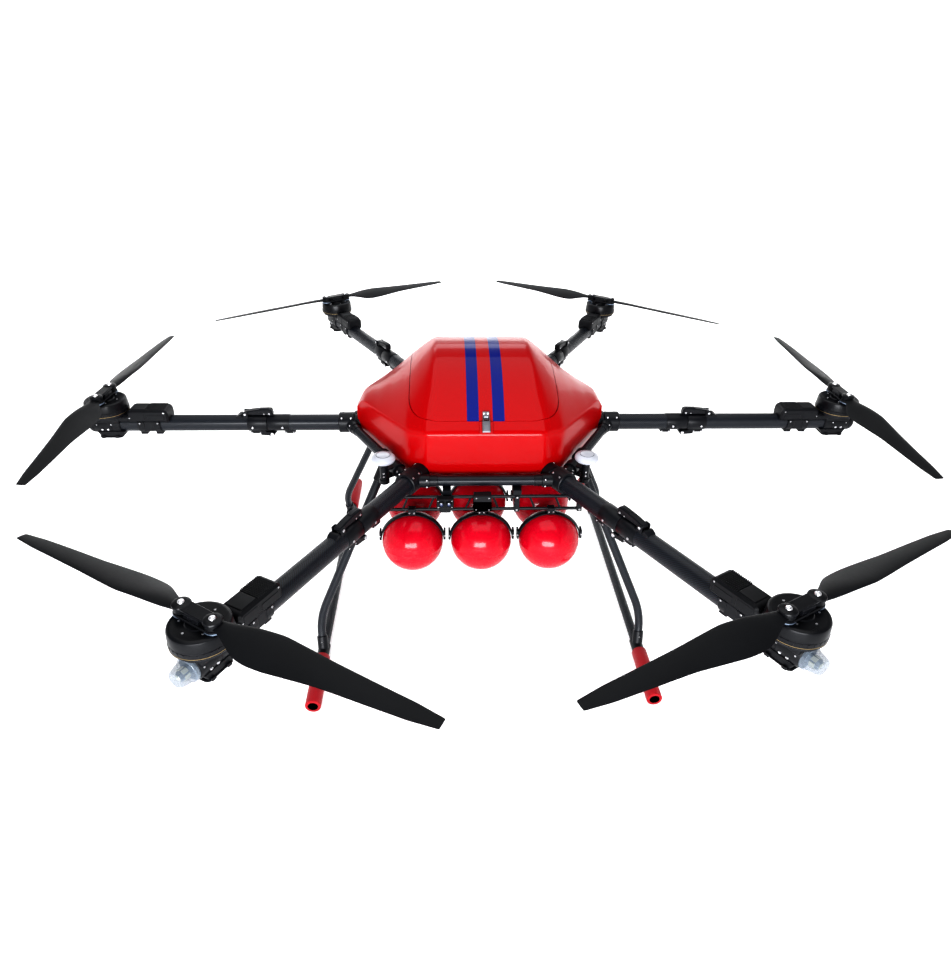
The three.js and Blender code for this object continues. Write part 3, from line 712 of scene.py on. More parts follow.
for name, place in arm_places.items():
    inner_arm, outer_arm, lock = Stock(place), Stock(place), Stock(place)
    body, lever_body = f"arm_{name}", f"lever_{name}"
    inner_arm.rod((TUBE_START, 0, 0), (524, 0, 0), TUBE_RADIUS, 48)
    inner_arm.turned((520, 0, 0), FORWARD, [
        (0, 22.1), (0.3, 22.9), (1, COLLAR_RADIUS), (57.4, COLLAR_RADIUS), (58.3, 22.7), (58.6, 19)], 48, 1)
    foot(inner_arm, 507, 535)
    inner_arm.block((559, 577), (-8, 8), (PIN_Z, -14), 1, 1)
    inner_arm.rod((PIN_X, -8, PIN_Z), (PIN_X, 8, PIN_Z), 7, 28, 0.8, 1)
    inner_arm.block((563, 578), (-6, 6), (18, 24.2), 0.8, 1)
    settle(inner_arm.made(f"arm_tube_inner_{name}", [carbon_tube, anodised]), "airframe", "carbon",
           f"arm_root_{name}")

    outer_arm.rod((622, 0, 0), (TUBE_END, 0, 0), TUBE_RADIUS, 48)
    outer_arm.turned((579.4, 0, 0), FORWARD, [
        (0, 19), (0.3, 22.7), (1.2, COLLAR_RADIUS), (51.4, COLLAR_RADIUS), (52.3, 22.8), (52.6, 22.1)], 48, 1)
    foot(outer_arm, 597, 627)
    outer_arm.soft_plate([(618, 13), (618, 21.5), (645, 21.5), (646, 28), (652, 28), (661, 22), (662, 13)],
                         1.5, -12, 12, 1, "xz", 1)
    for side in (-1, 1):
        lug = [(PIN_X - 7, PIN_Z + 2), (PIN_X - 6, PIN_Z - 4), (PIN_X, PIN_Z - 7), (PIN_X + 8, PIN_Z - 5),
               (600, PIN_Z - 3), (600, -10), (586, -10), (584, PIN_Z + 6), (PIN_X, PIN_Z + 7)]
        outer_arm.soft_plate(lug, 2.5, *sorted((8.4 * side, 16 * side)), 1, "xz", 1)
        ear = [(LEVER_X - 8, 13), (LEVER_X - 8, LEVER_Z + 6), (LEVER_X + 7, LEVER_Z + 6), (LEVER_X + 7, 13)]
        outer_arm.soft_plate(ear, 4, *sorted((9.4 * side, 13 * side)), 0.8, "xz", 1)
        screw(body, place, (PIN_X, side * 15.8, PIN_Z), (0, side, 0), 4.6)
        screw(body, place, (618, side * 22.7, -5), (0, side, -0.2), 3.0)
        screw(body, place, (LEVER_X, side * 12.8, LEVER_Z), (0, side, 0), 3.2)
        screw("airframe", place, (538, side * 22.7, -5), (0, side, -0.2), 3.0)
        for holder, x in (("airframe", 511), ("airframe", 531), (body, 601), (body, 623)):
            screw(holder, place, (x, side * 13.6, -24), (0, side, 0), 1.9)
    settle(outer_arm.made(f"arm_tube_outer_{name}", [carbon_tube, anodised]), body, "carbon",
           f"arm_outer_{name}")

    hump = [(562, 25), (564, 39), (567, 42.5), (586, 42.5), (618, 39.5), (LEVER_X + 4, 35),
            (LEVER_X + 5.5, 30), (LEVER_X + 3, 26), (LEVER_X - 6, 25.6)]
    lock.soft_plate(hump, 3, -9, 9, 2.2)
    lock.soft_plate([(572, 40), (572, 43.8), (598, 43.2), (600, 38)], 1.5, -5.5, 5.5)
    for side in (-1, 1):
        screw(lever_body, place, (572, side * 8.8, 30), (0, side, 0), 2.6)
        screw(lever_body, place, (586, side * 8.8, 29), (0, side, 0), 1.8)
    settle(lock.made(f"lock_lever_{name}", [anodised, steel]), lever_body, "anodised_black",
           f"fold_lever_{name}")

# ------------------------------------------------------------------ motor pods
# Moulded speed controller with cooling fins, a split clamp round the tube end and a base
# plate below. Side and back arms end in a rounded cap, the front arms in a clear lamp.

lens_finish = plain_finish("lamp_lens", (90, 2), (0.07, 0.09, 0.12), (0.18, 0.22, 0.27), 0.10, 0.1,
                           (0.3, 0.002), Alpha=0.5)
glow_finish = plain_finish("lamp_chip", (700,), (0.42, 0.42, 0.33), (0.50, 0.50, 0.42), 0.4, 0,
                           Emission_Color=(0.9, 0.9, 0.8, 1), Emission_Strength=0.08)
board_finish = moulded_finish("lamp_board", (0.16, 0.18, 0.20), 0.4)


def start_tree(name, sockets):
    """A geometry tree with the named inputs, and a wire from each of them."""
    group = bpy.data.node_groups.new(name, "GeometryNodeTree")
    for label, kind in (("Geometry", "Geometry"), *sockets):
        group.interface.new_socket(label, in_out="INPUT", socket_type=f"NodeSocket{kind}")
    group.interface.new_socket("Geometry", in_out="OUTPUT", socket_type="NodeSocketGeometry")
    ports = group.nodes.new("NodeGroupInput")
    return group, Wire(group), [Wire(group, ports.outputs[n]) for n in range(len(sockets) + 1)]


def end_tree(wires, finish, copies):
    """Puts one instance on each point and gives the result its finish."""
    instances = wires.add("GeometryNodeInstanceOnPoints", {}, copies)
    solid = wires.add("GeometryNodeRealizeInstances", {}, {"Geometry": instances})
    painted = wires.add("GeometryNodeSetMaterial", {}, {"Geometry": solid, "Material": finish})
    wires.add("NodeGroupOutput", {}, {0: painted})


def fin_tree():
    """Row of flat cooling fins across the controller's back."""
    group, wires, (_, count, pitch, start, size, finish) = start_tree("cooling_fins", [
        ("Count", "Int"), ("Pitch", "Vector"), ("Start", "Vector"), ("Fin Size", "Vector"),
        ("Finish", "Material")])
    row = wires.add("GeometryNodeMeshLine", {}, {"Count": count, "Start Location": start, "Offset": pitch})
    fin = wires.add("GeometryNodeMeshCube", {}, {"Size": size})
    end_tree(wires, finish, {"Points": row, "Instance": fin})
    return group


def grown(name, group, start_mesh, values):
    """The plain mesh that a node tree grows from a start mesh."""
    seed = bpy.data.objects.new(name, start_mesh)
    scene.collection.objects.link(seed)
    growth = seed.modifiers.new("growth", "NODES")
    growth.node_group = group
    for item in group.interface.items_tree:
        if item.in_out == "INPUT" and item.name in values:
            growth[item.identifier] = values[item.name]
    mesh = result_of(seed)
    bpy.data.objects.remove(seed)
    return mesh


def placed(name, mesh, place, body, slot):
    piece = bpy.data.objects.new(name, mesh.copy())
    piece.data.transform(place)
    scene.collection.objects.link(piece)
    settle(piece, body, slot)


fins = grown("fins", fin_tree(), bpy.data.meshes.new("fins"), {
    "Count": 12, "Pitch": (0.0039, 0, 0), "Start": (0.8475, 0, 0.047),
    "Fin Size": (0.0019, 0.044, 0.005), "Finish": black_plastic})

for name, place in arm_places.items():
    pod = Stock(place)
    body = f"arm_{name}"
    lamp = name.startswith("front")
    case = [(836, 12), (835, 28), (836, 41), (842, 47.5), (935, 47.5), (942, 42), (942, 33), (976, 33),
            (976, 12)]
    pod.soft_plate(case, 5, -26, 26, 5)
    pod.soft_plate([(894, 44), (894, 49.5), (930, 49.5), (932, 44)], 1.5, -20, 20)
    pod.soft_plate(box(846, 18, 890, 34), 3, -26.8, 26.8, 0.6)
    pod.soft_plate(box(898, 17, 934, 39), 3, -26.6, 26.6, 0.5)
    for x in (862, 903):
        pod.band((x, 0, 0), FORWARD, 18, 22.6, 24.2, 25, 1, 40)
        pod.soft_plate(box(x, -15, x + 18, 15), 2, -27, -20, 1, "xy")
        pod.soft_plate(box(x, -25, x + 18, 25), 2, -3, 14, 1, "xy")
    for side in (-1, 1):
        pod.block((878, 906), sorted((side * 20.6, side * 23.5)), (-14, 14), 0.8)
        for x in (976, 1012):
            pod.soft_plate(box(x, -33, x + 10, -26), 2, *sorted((side * 24, side * 27.5)), 0.8)
    pod.turned((968, 0, 0), FORWARD, [(0, 21), (0, 24), (1.2, 25.4), (22, 25.4), (22.6, 24.6), (23.2, 25.4),
                                      (66, 25.4), (68, 24), (68, 12)], 48)
    pod.soft_plate([(956, -14), (970, -30), (1024, -30), (1032, -14)], 3, -23, 23, 1.5)
    pod.soft_plate([(972, -25), (1024, -25), (1029, -19), (1029, 19), (1024, 25), (972, 25), (968, 19),
                    (968, -19)], 3, -33, -29, 1, "xy")
    pod.soft_plate(box(966, -28, 1034, 28), 6, 12, 31, 2, "xy")
    pod.turned((1000, 0, 28), UP, [(0, 40), (1, 49.5), (7, 49.5), (8, 47), (35.5, 47), (36.5, 20)], 48, 1)
    if lamp:
        pod.turned((1036, 0, 0), FORWARD, [(0, 12), (0, 23), (1.5, 23.4), (3, 23), (3, 12)], 40, 2)
        pod.turned((1038, 0, 0), FORWARD, [(0, 11), (22, 9.5), (24, 8)], 6, 2)
        for n in range(6):
            turn_to = Matrix.Rotation(math.radians(60 * n + 30), 3, "X")
            middle = Vector((1051, 0, 9.6))
            chip = [turn_to @ (middle + Vector((x, y, 0))) for x, y in box(-5, -4, 5, 4)]
            rise = turn_to @ Vector((0, 0, 1.3))
            pod.loft([chip, [c + rise for c in chip]], 3)
        chip = box(-5, -5, 5, 5)
        pod.loft([[(x, y, z) for y, z in chip] for x in (1062, 1063)], 3)
        glass = Stock(place)
        glass.turned((1036.5, 0, 0), FORWARD, [
            (0, 22), (0, 24), (2, 24.4), (7, 24.4), (8, 23.4), (8.2, 21.6), (20, 19.4), (30, 16.6),
            (32.3, 14.4), (32.5, 0)], 12)
        settle(glass.made(f"lamp_lens_{name}", [lens_finish], 25), body, "antenna_white")
    else:
        pod.turned((1034, 0, 0), FORWARD, [(0, 23.5), (3, 24.2), (9, 24), (15, 21.5), (19.5, 17), (22.3, 10),
                                           (23, 0)], 40)
    for side in (-1, 1):
        for x, y, z, rise, radius in (
                (1001, 24.0, -8, -8 / 25, 3.0), (1016, 24.0, -8, -8 / 25, 3.0), (990, 24.0, 6, 6 / 25, 1.6),
                (1028, 24.0, 6, 6 / 25, 1.6), (867, 24.8, 10, 0, 2.0), (914, 24.8, 10, 0, 2.0),
                (845, 25.4, 40, 0.3, 1.8), (937, 25.4, 26, 0, 1.6)):
            screw(body, place, (x, side * y, z), (0, side, rise), radius)
    screw(body, place, (1046, -14, -14), (0.5, -0.6, -0.6), 2.2)
    settle(pod.made(f"pod_{name}", [black_plastic, anodised, board_finish, glow_finish]), body,
           "black_plastic", f"motor_pod_{name}")
    placed(f"pod_fins_{name}", fins, place, body, "black_plastic")

# ------------------------------------------------------------------ rotors
# Turned black motor bell with a ribbed foot ring, and a folding hub whose two rounded caps
# hold the blade roots on big silver bolts.

HUB_HEIGHT, HUB_OFFSET = 85.5, 37
BLADE_FACING = [-87.7, 85.1, -87.1, 85.6, -93.5, -92.2]
# Pale blue-grey metal for the rings under the hub caps: a painted reflection, standing in for light glancing
# off the lower plate's edge.
painted_reflection_metal = moulded_finish("painted_reflection_ring_metal", (0.16, 0.2, 0.26), 0.3, 1200, 0.8)
copper_line = moulded_finish("brass_line", (0.30, 0.22, 0.11), 0.35, 1200, 0.9)
motor_black = moulded_finish("motor_black", (0.004, 0.0043, 0.0055), 0.30, 1500)


def capsule(half, radius, steps=20):
    """A slot-shaped outline along x."""
    turns = [(half, -90 + 180 * n / steps) for n in range(steps + 1)]
    turns += [(-half, 90 + 180 * n / steps) for n in range(steps + 1)]
    return [(centre + radius * math.cos(math.radians(a)), radius * math.sin(math.radians(a)))
            for centre, a in turns]


rotor_places = {}
for (name, place), facing in zip(arm_places.items(), BLADE_FACING):
    spot = place @ Matrix.Translation((1, 0, 0)) @ Matrix.Rotation(math.radians(facing), 4, "Z")
    rotor_places[name] = spot
    body = f"spinner_{name}"
    motor = Stock(spot)
    motor.turned((0, 0, 36), UP, [
        (30.5, 0), (30.5, 50.2), (0, 50.2), (0, 53.8), (1, 54.5), (13, 54.2), (13.8, 53.6), (14.6, 54.0),
        (31, 52.8), (34.4, 51.4), (36.2, 48.7), (36.5, 45), (36.1, 42), (36.1, 24), (37.5, 22),
        (37.5, 0)], 72)
    motor.turned((0, 0, 39.7), UP, [(0, 54.3), (0, 54.7), (0.7, 54.7), (0.7, 54.3), (0, 54.3)], 72, 2)
    for n in range(30):
        out, side = corner(12 * n, 1), corner(12 * n + 90, 1)
        rib = [out * r + side * w for r, w in ((53.6, -1.6), (54.75, -1.6), (54.75, 1.6), (53.6, 1.6))]
        motor.loft([[p + (0, 0, z) for p in rib] for z in (42.1, 47.9)])
    for n in range(6):
        screw(body, spot, corner(60 * n + 30, 33, 71.9), UP, 2.0)
    motor.rod((0, 0, 70.5), (0, 0, 84.5), 15, 32)
    low, high = HUB_HEIGHT - 4.9, HUB_HEIGHT + 4.9
    motor.plate(capsule(HUB_OFFSET, 16.5), low - 5, low, 1.2)
    motor.block((-17.5, 17.5), (-14, 14), (low - 1, high + 1), 2)
    motor.plate(capsule(HUB_OFFSET, 12.5), high, high + 4.5, 1.2)
    for x in (-HUB_OFFSET, HUB_OFFSET):
        motor.turned((x, 0, high), UP, [(0, 16.3), (2.6, 16.5), (4.6, 15.4), (5.6, 12.4), (6, 8),
                                        (6, 0)], 36)
        motor.turned((x, 0, high + 5.6), UP, [(0, 6), (1.8, 5.8), (3.2, 5), (4.2, 3.6), (4.6, 2.2),
                                              (3.4, 1.8), (3.4, 0)], 28, 3)
        # Pale blue-grey ring under each lower cap: a painted reflection, put where the lower plate's edge
        # shows only reflected light.
        motor.turned((x, 0, low - 6.2), UP, [(0, 12), (0, 16.6), (0.8, 17.1), (2.6, 17.1), (3, 16.6),
                                             (3, 12)], 36, 1)
        motor.rod((x, 0, low - 1), (x, 0, high + 1), 3.6, 20)
    settle(motor.made(f"motor_bell_{name}", [motor_black, painted_reflection_metal, copper_line, steel], 30), body,
           "motor_black", f"rotor_{name}")

# ------------------------------------------------------------------ propeller blades
# Satin composite blades, widest near the root on the trailing side, thinning and drooping
# to a blunt raked tip, with a round eye at the root.

BLADE_LENGTH, BLADE_DROOP = 418, 2.5
BLADE_TABLE = np.array([
    # along, leading edge, chord, twist, thickness
    (8, -11, 22, 0, 8), (28, -15, 32, 3, 8), (45, -18, 44, 8, 8.5), (70, -22, 60, 14, 9),
    (95, -25, 66, 15, 8.5), (125, -28, 68, 14, 8), (171, -25, 59, 12, 7), (222, -21, 48, 10, 6.2),
    (300, -17, 39, 8, 4.6), (370, -14, 31, 7, 3.2), (418, -9, 19, 6, 2.2)], float)
BLADE_SWING = dict(zip(ARM_NAMES, (
    (-2.5, -3.5), (1.7, -2.7), (-2.1, 2.1), (6.6, 0.5), (3.7, 4.4), (-2.3, 0))))
TRAILING_SIDE = dict(zip(ARM_NAMES, (-1, 1, -1, 1, -1, 1)))

blade_finish, tree, places = start_finish("blade_composite")
cloud = places.noise(9, 4)
streak = places.noise(160, 3)
speck = places.noise(900, 2)
end_finish(tree, cloud.mixed((0.004, 0.0043, 0.005), (0.008, 0.0086, 0.010)),
           0.34 + 0.12 * cloud + 0.08 * streak, Specular_IOR_Level=0.14,
           Normal=(speck + 0.6 * streak).bump(0.08, 0.0004))


def blade_values(s):
    """Leading edge, chord, twist and thickness along the blade, on soft curves."""
    fine = np.arange(-60, 500, 1.0)
    kernel = np.exp(-0.5 * (np.arange(-40, 41) / 7.0) ** 2)
    kernel /= kernel.sum()
    found = []
    for column in range(1, 5):
        raw = np.interp(fine, BLADE_TABLE[:, 0], BLADE_TABLE[:, column])
        found.append(np.interp(s, fine, np.convolve(np.pad(raw, 40, "edge"), kernel, "valid")))
    return found


def blade_stock(place, hand):
    """An aerofoil lofted along the blade, with a round eye at its root."""
    stock = Stock(place)
    stations = np.concatenate([np.linspace(6, 406, 64), [411, 414, 416.5, 417.7, 418]])
    around = np.linspace(0, 2 * math.pi, 36, endpoint=False)
    rings = []
    for s in stations:
        lead, chord, twist, thick = blade_values(s)
        close = math.sqrt(max(0.0, 1 - (max(0.0, s - 412) / 6.3) ** 2.4))
        lead, chord = lead + chord * 0.1 * (1 - close), chord * (0.8 + 0.2 * close)
        thick = thick * (0.4 + 0.6 * close)
        f = 0.5 - 0.5 * np.cos(around)
        upper = np.sin(around) > 0
        y = lead + f * chord
        hump = 4.2 * np.sqrt(f) * (1 - f) ** 0.9 * 0.37
        z = np.where(upper, hump * thick * 0.98, -hump * thick * 0.62) - 0.25 * thick * 0.2
        a = math.radians(twist)
        drop = BLADE_DROOP * (s / BLADE_LENGTH) ** 2
        turned = y * math.cos(a) + z * math.sin(a)
        raised = z * math.cos(a) - y * math.sin(a)
        rings.append(np.stack([np.full(36, s), hand * turned, raised - drop], 1))
    stock.loft(rings)
    stock.band((0, 0, -4.5), UP, 9, 4.4, 14.4, 15, 0.6, 36)
    return stock


for name, spot in rotor_places.items():
    for n, letter in enumerate("ab"):
        root = (spot @ Matrix.Rotation(n * math.pi, 4, "Z")
                @ Matrix.Translation((HUB_OFFSET * 0.001, 0, HUB_HEIGHT * 0.001))
                @ Matrix.Rotation(math.radians(BLADE_SWING[name][n]), 4, "Z"))
        wing = blade_stock(root, TRAILING_SIDE[name]).made(f"propeller_{letter}_{name}", [blade_finish], 40)
        settle(wing, f"blade_{letter}_{name}", "blade_grey", f"blade_{letter}_{name}")

# ------------------------------------------------------------------ landing gear
# Each side has two carbon legs, clamped to the ring tube above and bent in to a skid below.
# The skid ends wear red foam sleeves.

SKID_X, SKID_Z, SKID_END, FOOT_Y = 429, -520, 526, 343
red_foam, tree, places = start_finish("red_foam")
cell = tree.add("ShaderNodeTexVoronoi", {}, {"Vector": places, "Scale": 900.0})
fade = places.noise(18)
end_finish(tree, fade.mixed((0.22, 0.001, 0.006), (0.32, 0.002, 0.009)), 0.62 + 0.2 * fade,
           Specular_IOR_Level=0.2, Sheen_Weight=0.15, Normal=cell.bump(0.35, 0.0006))


def leg_path(side, end):
    foot_at = np.array([side * SKID_X, end * FOOT_Y, SKID_Z], float)
    knee = np.array([side * 436, end * 303, -436], float)
    top = np.array([side * 247, end * 199, -14], float)
    below, above = knee + (foot_at - knee) * 0.45, knee + (top - knee) * 0.1
    bend = curve(below, knee, above, 13)
    straight_low = foot_at + (below - foot_at) * np.linspace(0, 1, 5)[:-1, None]
    straight_high = above + (top - above) * np.linspace(0, 1, 30)[1:, None]
    return np.vstack([straight_low, bend, straight_high])


for side, name in ((1, "right"), (-1, "left")):
    gear = Stock(airframe)
    gear.rod((side * SKID_X, -SKID_END, SKID_Z), (side * SKID_X, SKID_END, SKID_Z), 12.5, 36)
    for end in (-1, 1):
        path = leg_path(side, end)
        gear.tube(path, 11, 32)
        foot_at, top = path[0], path[-1]
        rise = (path[4] - foot_at) / np.linalg.norm(path[4] - foot_at)
        gear.rod(foot_at - (0, 22, 0), foot_at + (0, 22, 0), 16, 32, 1.5, 1)
        gear.rod(foot_at, foot_at + rise * 44, 14, 32, 1.5, 1)
        fall = (path[-8] - top) / np.linalg.norm(path[-8] - top)
        gear.rod(top, top + fall * 52, 14, 32, 1.5, 1)
        tube_way = np.array([-side * 0.5, end * 0.866, 0])
        centre = np.array([side * 247, end * 199, 0])
        gear.band(centre - tube_way * 17, tube_way, 34, 13.6, 17, 18, finish=1)
        gear.turned((side * SKID_X, min(end * 366, end * 532), SKID_Z), (0, 1, 0), [
            (0, 12.8), (0, 18.4), (0.8, 19.6), (2.2, 20), (163.8, 20), (165.2, 19.6), (166, 18.4),
            (166, 12.8), (0, 12.8)], 44, 2)
        outward_way = np.array([side * 0.866, end * 0.5, 0])
        for lift in (-8, 8):
            screw("airframe", airframe, centre + outward_way * 17.6 + tube_way * lift, outward_way, 2.2)
        screw("airframe", airframe, foot_at + (0, -end * 15.0, 4), (0, -end, 0.3), 2.0)
        screw("airframe", airframe, foot_at + rise * 34 + (0, -13.8, 0), (0, -1, 0), 2.2)
    settle(gear.made(f"gear_{name}", [carbon_tube, anodised, red_foam]), "airframe", "carbon",
           f"landing_gear_{name}")

# ------------------------------------------------------------------ antennas
# White moulded discs with a thin dark ring, on short black posts bracketed to the ring.

white_shell, tree, places = start_finish("white_moulding")
haze = places.noise(30)
end_finish(tree, haze.mixed((0.33, 0.34, 0.38), (0.40, 0.41, 0.45)), 0.25 + 0.1 * haze, Coat_Weight=0.4,
           Normal=places.noise(700).bump(0.05, 0.0003))
for side, name in ((1, "right"), (-1, "left")):
    mast = Stock(airframe)
    at = np.array([side * 245, -277, 0], float)
    mast.turned(at + (0, 0, 34), UP, [
        (0, 8), (0, 24.5), (1, 26.5), (4, 28.6), (7, 29), (10, 28.6), (13.5, 26), (16, 22), (17.6, 17),
        (18.6, 10), (19, 0)], 56)
    mast.turned(at + (0, 0, 51.3), UP, [
        (0, 16.0), (0.55, 16.4), (0.75, 16.8), (0.2, 17.4), (0, 16.0)], 56, 1)
    for low, high, radius, chamfer in ((-24, 35, 10, 1.2), (22, 35, 12.5, 1.5), (-26, -14, 12.5, 1.5)):
        mast.rod(at + (0, 0, low), at + (0, 0, high), radius, 32, chamfer, 1)
    seat = np.array([side * 215, -255, 0])
    way = np.array([side * 0.5, 0.866, 0])
    mast.band(seat - way * 12, way, 24, 13.8, 17, 18, finish=1)
    run = (at - seat) / np.linalg.norm(at - seat)
    lift = np.array([-run[1], run[0], 0])
    for level in (-11, 11):
        plate = [seat + run * r + lift * w for r, w in ((12, -8), (37, -8), (37, 8), (12, 8))]
        mast.loft([[p + (0, 0, z) for p in plate] for z in (level - 2, level + 2)], 1)
    for level in (-5, 5):
        screw("airframe", airframe, at + (0, -9.8, level), (0, -1, 0), 2.0)
    settle(mast.made(f"antenna_mast_{name}", [white_shell, anodised]), "airframe", "antenna_white",
           f"antenna_{name}")

# ------------------------------------------------------------------ payload rack
# Black rails under the nose with a spring hoop for each payload, a camera box in the
# middle and a sensor with two eyes beside it.

BALL_Z, BALL_PITCH, BALL_ROWS = -156, 168, (-336, -166)
rack_place = airframe @ Matrix.Translation((-0.010, 0, 0))
RAIL_HIGH, RAIL_LOW, RAIL_HALF = -31, -66, 236
rack = Stock(rack_place)
for y in BALL_ROWS:
    for z in (RAIL_HIGH, RAIL_LOW):
        rack.rod((-RAIL_HALF, y, z), (RAIL_HALF, y, z), 4, 20)
    for x in (-RAIL_HALF, -BALL_PITCH / 2, BALL_PITCH / 2, RAIL_HALF):
        rack.block((x - 6, x + 6), (y - 6, y + 6), (RAIL_LOW - 6, RAIL_HIGH + 3), 1.2)
        for z in (RAIL_LOW, RAIL_HIGH):
            screw("airframe", rack_place, (x, y - 5.8, z), (0, -1, 0), 2.4)
    for x in (-190, -128, -40, 40, 128, 190):
        rack.tube([(x, y, RAIL_LOW), (x + (14 if x < 0 else -14), y, RAIL_HIGH)], 2.6, 12)
    for n in (-1, 0, 1):
        x = n * BALL_PITCH
        hoop = ((76, -7), (78.8, -7), (79.2, -6.4), (79.2, 6.4), (78.8, 7), (76, 7))
        rings = [[(x + r * math.cos(a), y + w, BALL_Z + r * math.sin(a)) for r, w in hoop]
                 for a in np.radians(np.linspace(4, 176, 33))]
        rack.loft(rings)
        rack.block((x - 9, x + 9), (y - 8, y + 8), (BALL_Z + 77.5, RAIL_LOW + 5), 1.2)
        for side in (-1, 1):
            clip = sorted((x + side * 76.3, x + side * 80.6))
            rack.block(clip, (y - 10, y + 10), (BALL_Z + 6, BALL_Z + 30), 0.8)
            screw("airframe", rack_place, (x + side * 78.6, y - 9.8, BALL_Z + 18), (0, -1, 0), 1.9)
            screw("airframe", rack_place, (x + side * 5.5, y - 7.8, BALL_Z + 84), (0, -1, 0), 1.8)
for x in (-BALL_PITCH / 2, BALL_PITCH / 2):
    rack.rod((x, BALL_ROWS[0] - 4, RAIL_HIGH), (x, -50, RAIL_HIGH), 3.5, 20)
    for y in ((-200, -176), (-84, -60)):
        rack.block((x - 12, x + 12), y, (RAIL_HIGH, -25.4), 1)
    rack.block((x - 10, x + 10), (BALL_ROWS[0] - 2, BALL_ROWS[0] + 30), (RAIL_HIGH, -13.4), 1)
rack.block((-21, 21), (-366, -344), (-55, -11), 2, 1)
rack.block((-21, 21), (-366, -333), (-55, -25), 2, 1)
for x in (-15, 15):
    for z in (-17, -49):
        screw("airframe", rack_place, (x, -365.8, z), (0, -1, 0), 1.5)
settle(rack.made("rack", [anodised, black_plastic]), "airframe", "anodised_black", "payload_rack")

dark_glass = plain_finish("sensor_glass", (300, 1), (0.004, 0.010, 0.05), (0.008, 0.02, 0.09), 0.06, 0.04,
                          Coat_Weight=1.0)
sensor = Stock(rack_place)
sx, sy, sz = -BALL_PITCH / 2 - 4, -354, -36
sensor.soft_plate(box(sx - 20, sz - 12, sx + 20, sz + 14), 3, sy - 8, sy + 8, 1.2)
sensor.soft_plate(box(sx - 13, sz - 24, sx + 13, sz - 6), 2, sy - 7, sy + 9)
for x in (sx - 9, sx + 9):
    sensor.turned((x, sy - 2, sz + 2), (0, -1, 0), [(0, 7.4), (10.6, 7.2), (12, 6.4), (12, 5.2),
                                                   (10.5, 4.8), (10.5, 0)], 28)
    sensor.turned((x, sy - 11, sz + 2), (0, -1, 0), [(0, 5), (1.2, 4.6), (2.2, 3.0), (2.6, 0)], 28, 1)
for x, z in ((-16, 9), (16, 9), (-16, -8), (16, -8)):
    screw("airframe", rack_place, (sx + x, sy - 7.8, sz + z), (0, -1, 0), 1.3)
settle(sensor.made("nose_sensor", [black_plastic, dark_glass]), "airframe", "black_plastic", "front_sensor")

# ------------------------------------------------------------------ payloads
# Round shells in scuffed red film, with a fine welded seam round the middle and a flat
# boss on top where the hoop presses.

BALL_RADIUS, BALL_SKIN, SEAM_HEIGHT = 75, 74.6, 0.35
ball_film, tree, places = start_finish("red_film")
scuff = places.noise(26, 5, 0.7)
scratch = tree.add("ShaderNodeTexNoise", {}, {
    "Vector": places, "Scale": 120.0, "Distortion": 2.5}).above(0.66, 0.03)
crease = tree.add("ShaderNodeTexNoise", {}, {
    "Vector": places, "Scale": 18.0, "Detail": 4.0, "Distortion": 1.2})
end_finish(tree, scuff.mixed((0.33, 0.0006, 0.010), (0.42, 0.001, 0.017)),
           0.20 + 0.12 * scuff + 0.2 * scratch, Specular_IOR_Level=0.12, Coat_Weight=0.28,
           Coat_Roughness=0.08, Normal=crease.bump(0.10, 0.004))
for y, row in zip(BALL_ROWS, ("front", "rear")):
    for n, place_name in enumerate(("left", "middle", "right")):
        ball = Stock(rack_place)
        stops = []
        for angle in np.concatenate([np.linspace(-89.5, -3, 26), [-1.2, -0.5, 0, 0.5, 1.2],
                                     np.linspace(3, 80, 24)]):
            a = math.radians(angle)
            radius = BALL_SKIN + (SEAM_HEIGHT if abs(angle) < 0.9 else 0)
            stops.append((BALL_RADIUS + radius * math.sin(a), radius * math.cos(a)))
        stops += [(148.4, 12.6), (149.0, 12.2), (149.2, 0)]
        ball.turned(((n - 1) * BALL_PITCH, y, BALL_Z - BALL_RADIUS), UP, stops, 72)
        name = f"ball_{row}_{place_name}"
        settle(ball.made(f"payload_{row}_{place_name}", [ball_film], 40), name, "ball_red", name)

# ------------------------------------------------------------------ screws
# Stainless cap screws with a socket in the head, set into every site noted above, with one
# piece for each body.


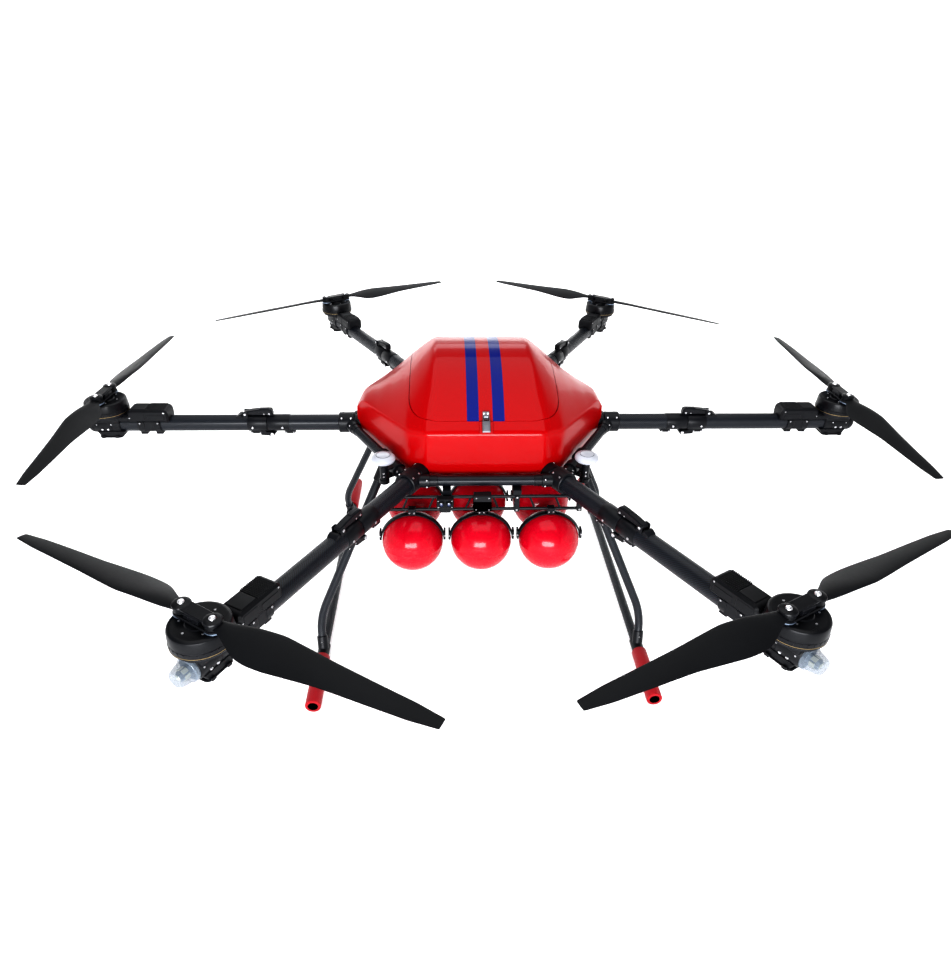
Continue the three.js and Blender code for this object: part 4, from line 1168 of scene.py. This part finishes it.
def screw_tree():
    """Sets a socket-head screw on each point, scaled by size and turned to facing."""
    group, wires, (sites, sides, height, socket_depth, finish) = start_tree("cap_screws", [
        ("Sides", "Int"), ("Height", "Float"), ("Socket", "Float"), ("Finish", "Material")])

    def pushed(mesh, top, offset):
        """The mesh with its top faces pushed out, and the new top."""
        push = wires.add("GeometryNodeExtrudeMesh", {"mode": "FACES"}, {
            "Mesh": mesh, "Selection": top, "Offset Scale": offset}).socket.node
        return Wire(group, push.outputs["Mesh"]), Wire(group, push.outputs["Top"])

    def shrunk(mesh, top, scale):
        return wires.add("GeometryNodeScaleElements", {"domain": "FACE"}, {
            "Geometry": mesh, "Selection": top, "Scale": scale})

    blank = wires.add("GeometryNodeMeshCylinder", {}, {
        "Vertices": sides, "Depth": height, "Radius": 1.0}).socket.node
    mesh, top = pushed(Wire(group, blank.outputs["Mesh"]), Wire(group, blank.outputs["Top"]), 0.12)
    mesh, top = pushed(shrunk(mesh, top, 0.84), top, 0.0)
    mesh, top = pushed(shrunk(mesh, top, 0.55), top, 0.0 - socket_depth)
    facing = wires.add("GeometryNodeInputNamedAttribute", {"data_type": "FLOAT_VECTOR"}, {"Name": "facing"})
    size = wires.add("GeometryNodeInputNamedAttribute", {"data_type": "FLOAT"}, {"Name": "size"})
    end_tree(wires, finish, {
        "Points": sites, "Instance": mesh,
        "Rotation": wires.add("FunctionNodeAlignRotationToVector", {"axis": "Z"}, {"Vector": facing}),
        "Scale": wires.add("ShaderNodeCombineXYZ", {}, {0: size, 1: size, 2: size})})
    return group


screws = screw_tree()
for body, sites in screw_sites.items():
    seats = bpy.data.meshes.new("seats")
    seats.from_pydata([site for site, _, _ in sites], [], [])
    facing = seats.attributes.new("facing", "FLOAT_VECTOR", "POINT")
    facing.data.foreach_set("vector", np.array([tuple(f.normalized()) for _, f, _ in sites]).ravel())
    size = seats.attributes.new("size", "FLOAT", "POINT")
    size.data.foreach_set("value", [r for _, _, r in sites])
    mesh = grown("seats", screws, seats, {"Sides": 14, "Height": 0.9, "Socket": 0.5, "Finish": steel})
    placed(f"screws_{body}", mesh, Matrix(), body, "steel")
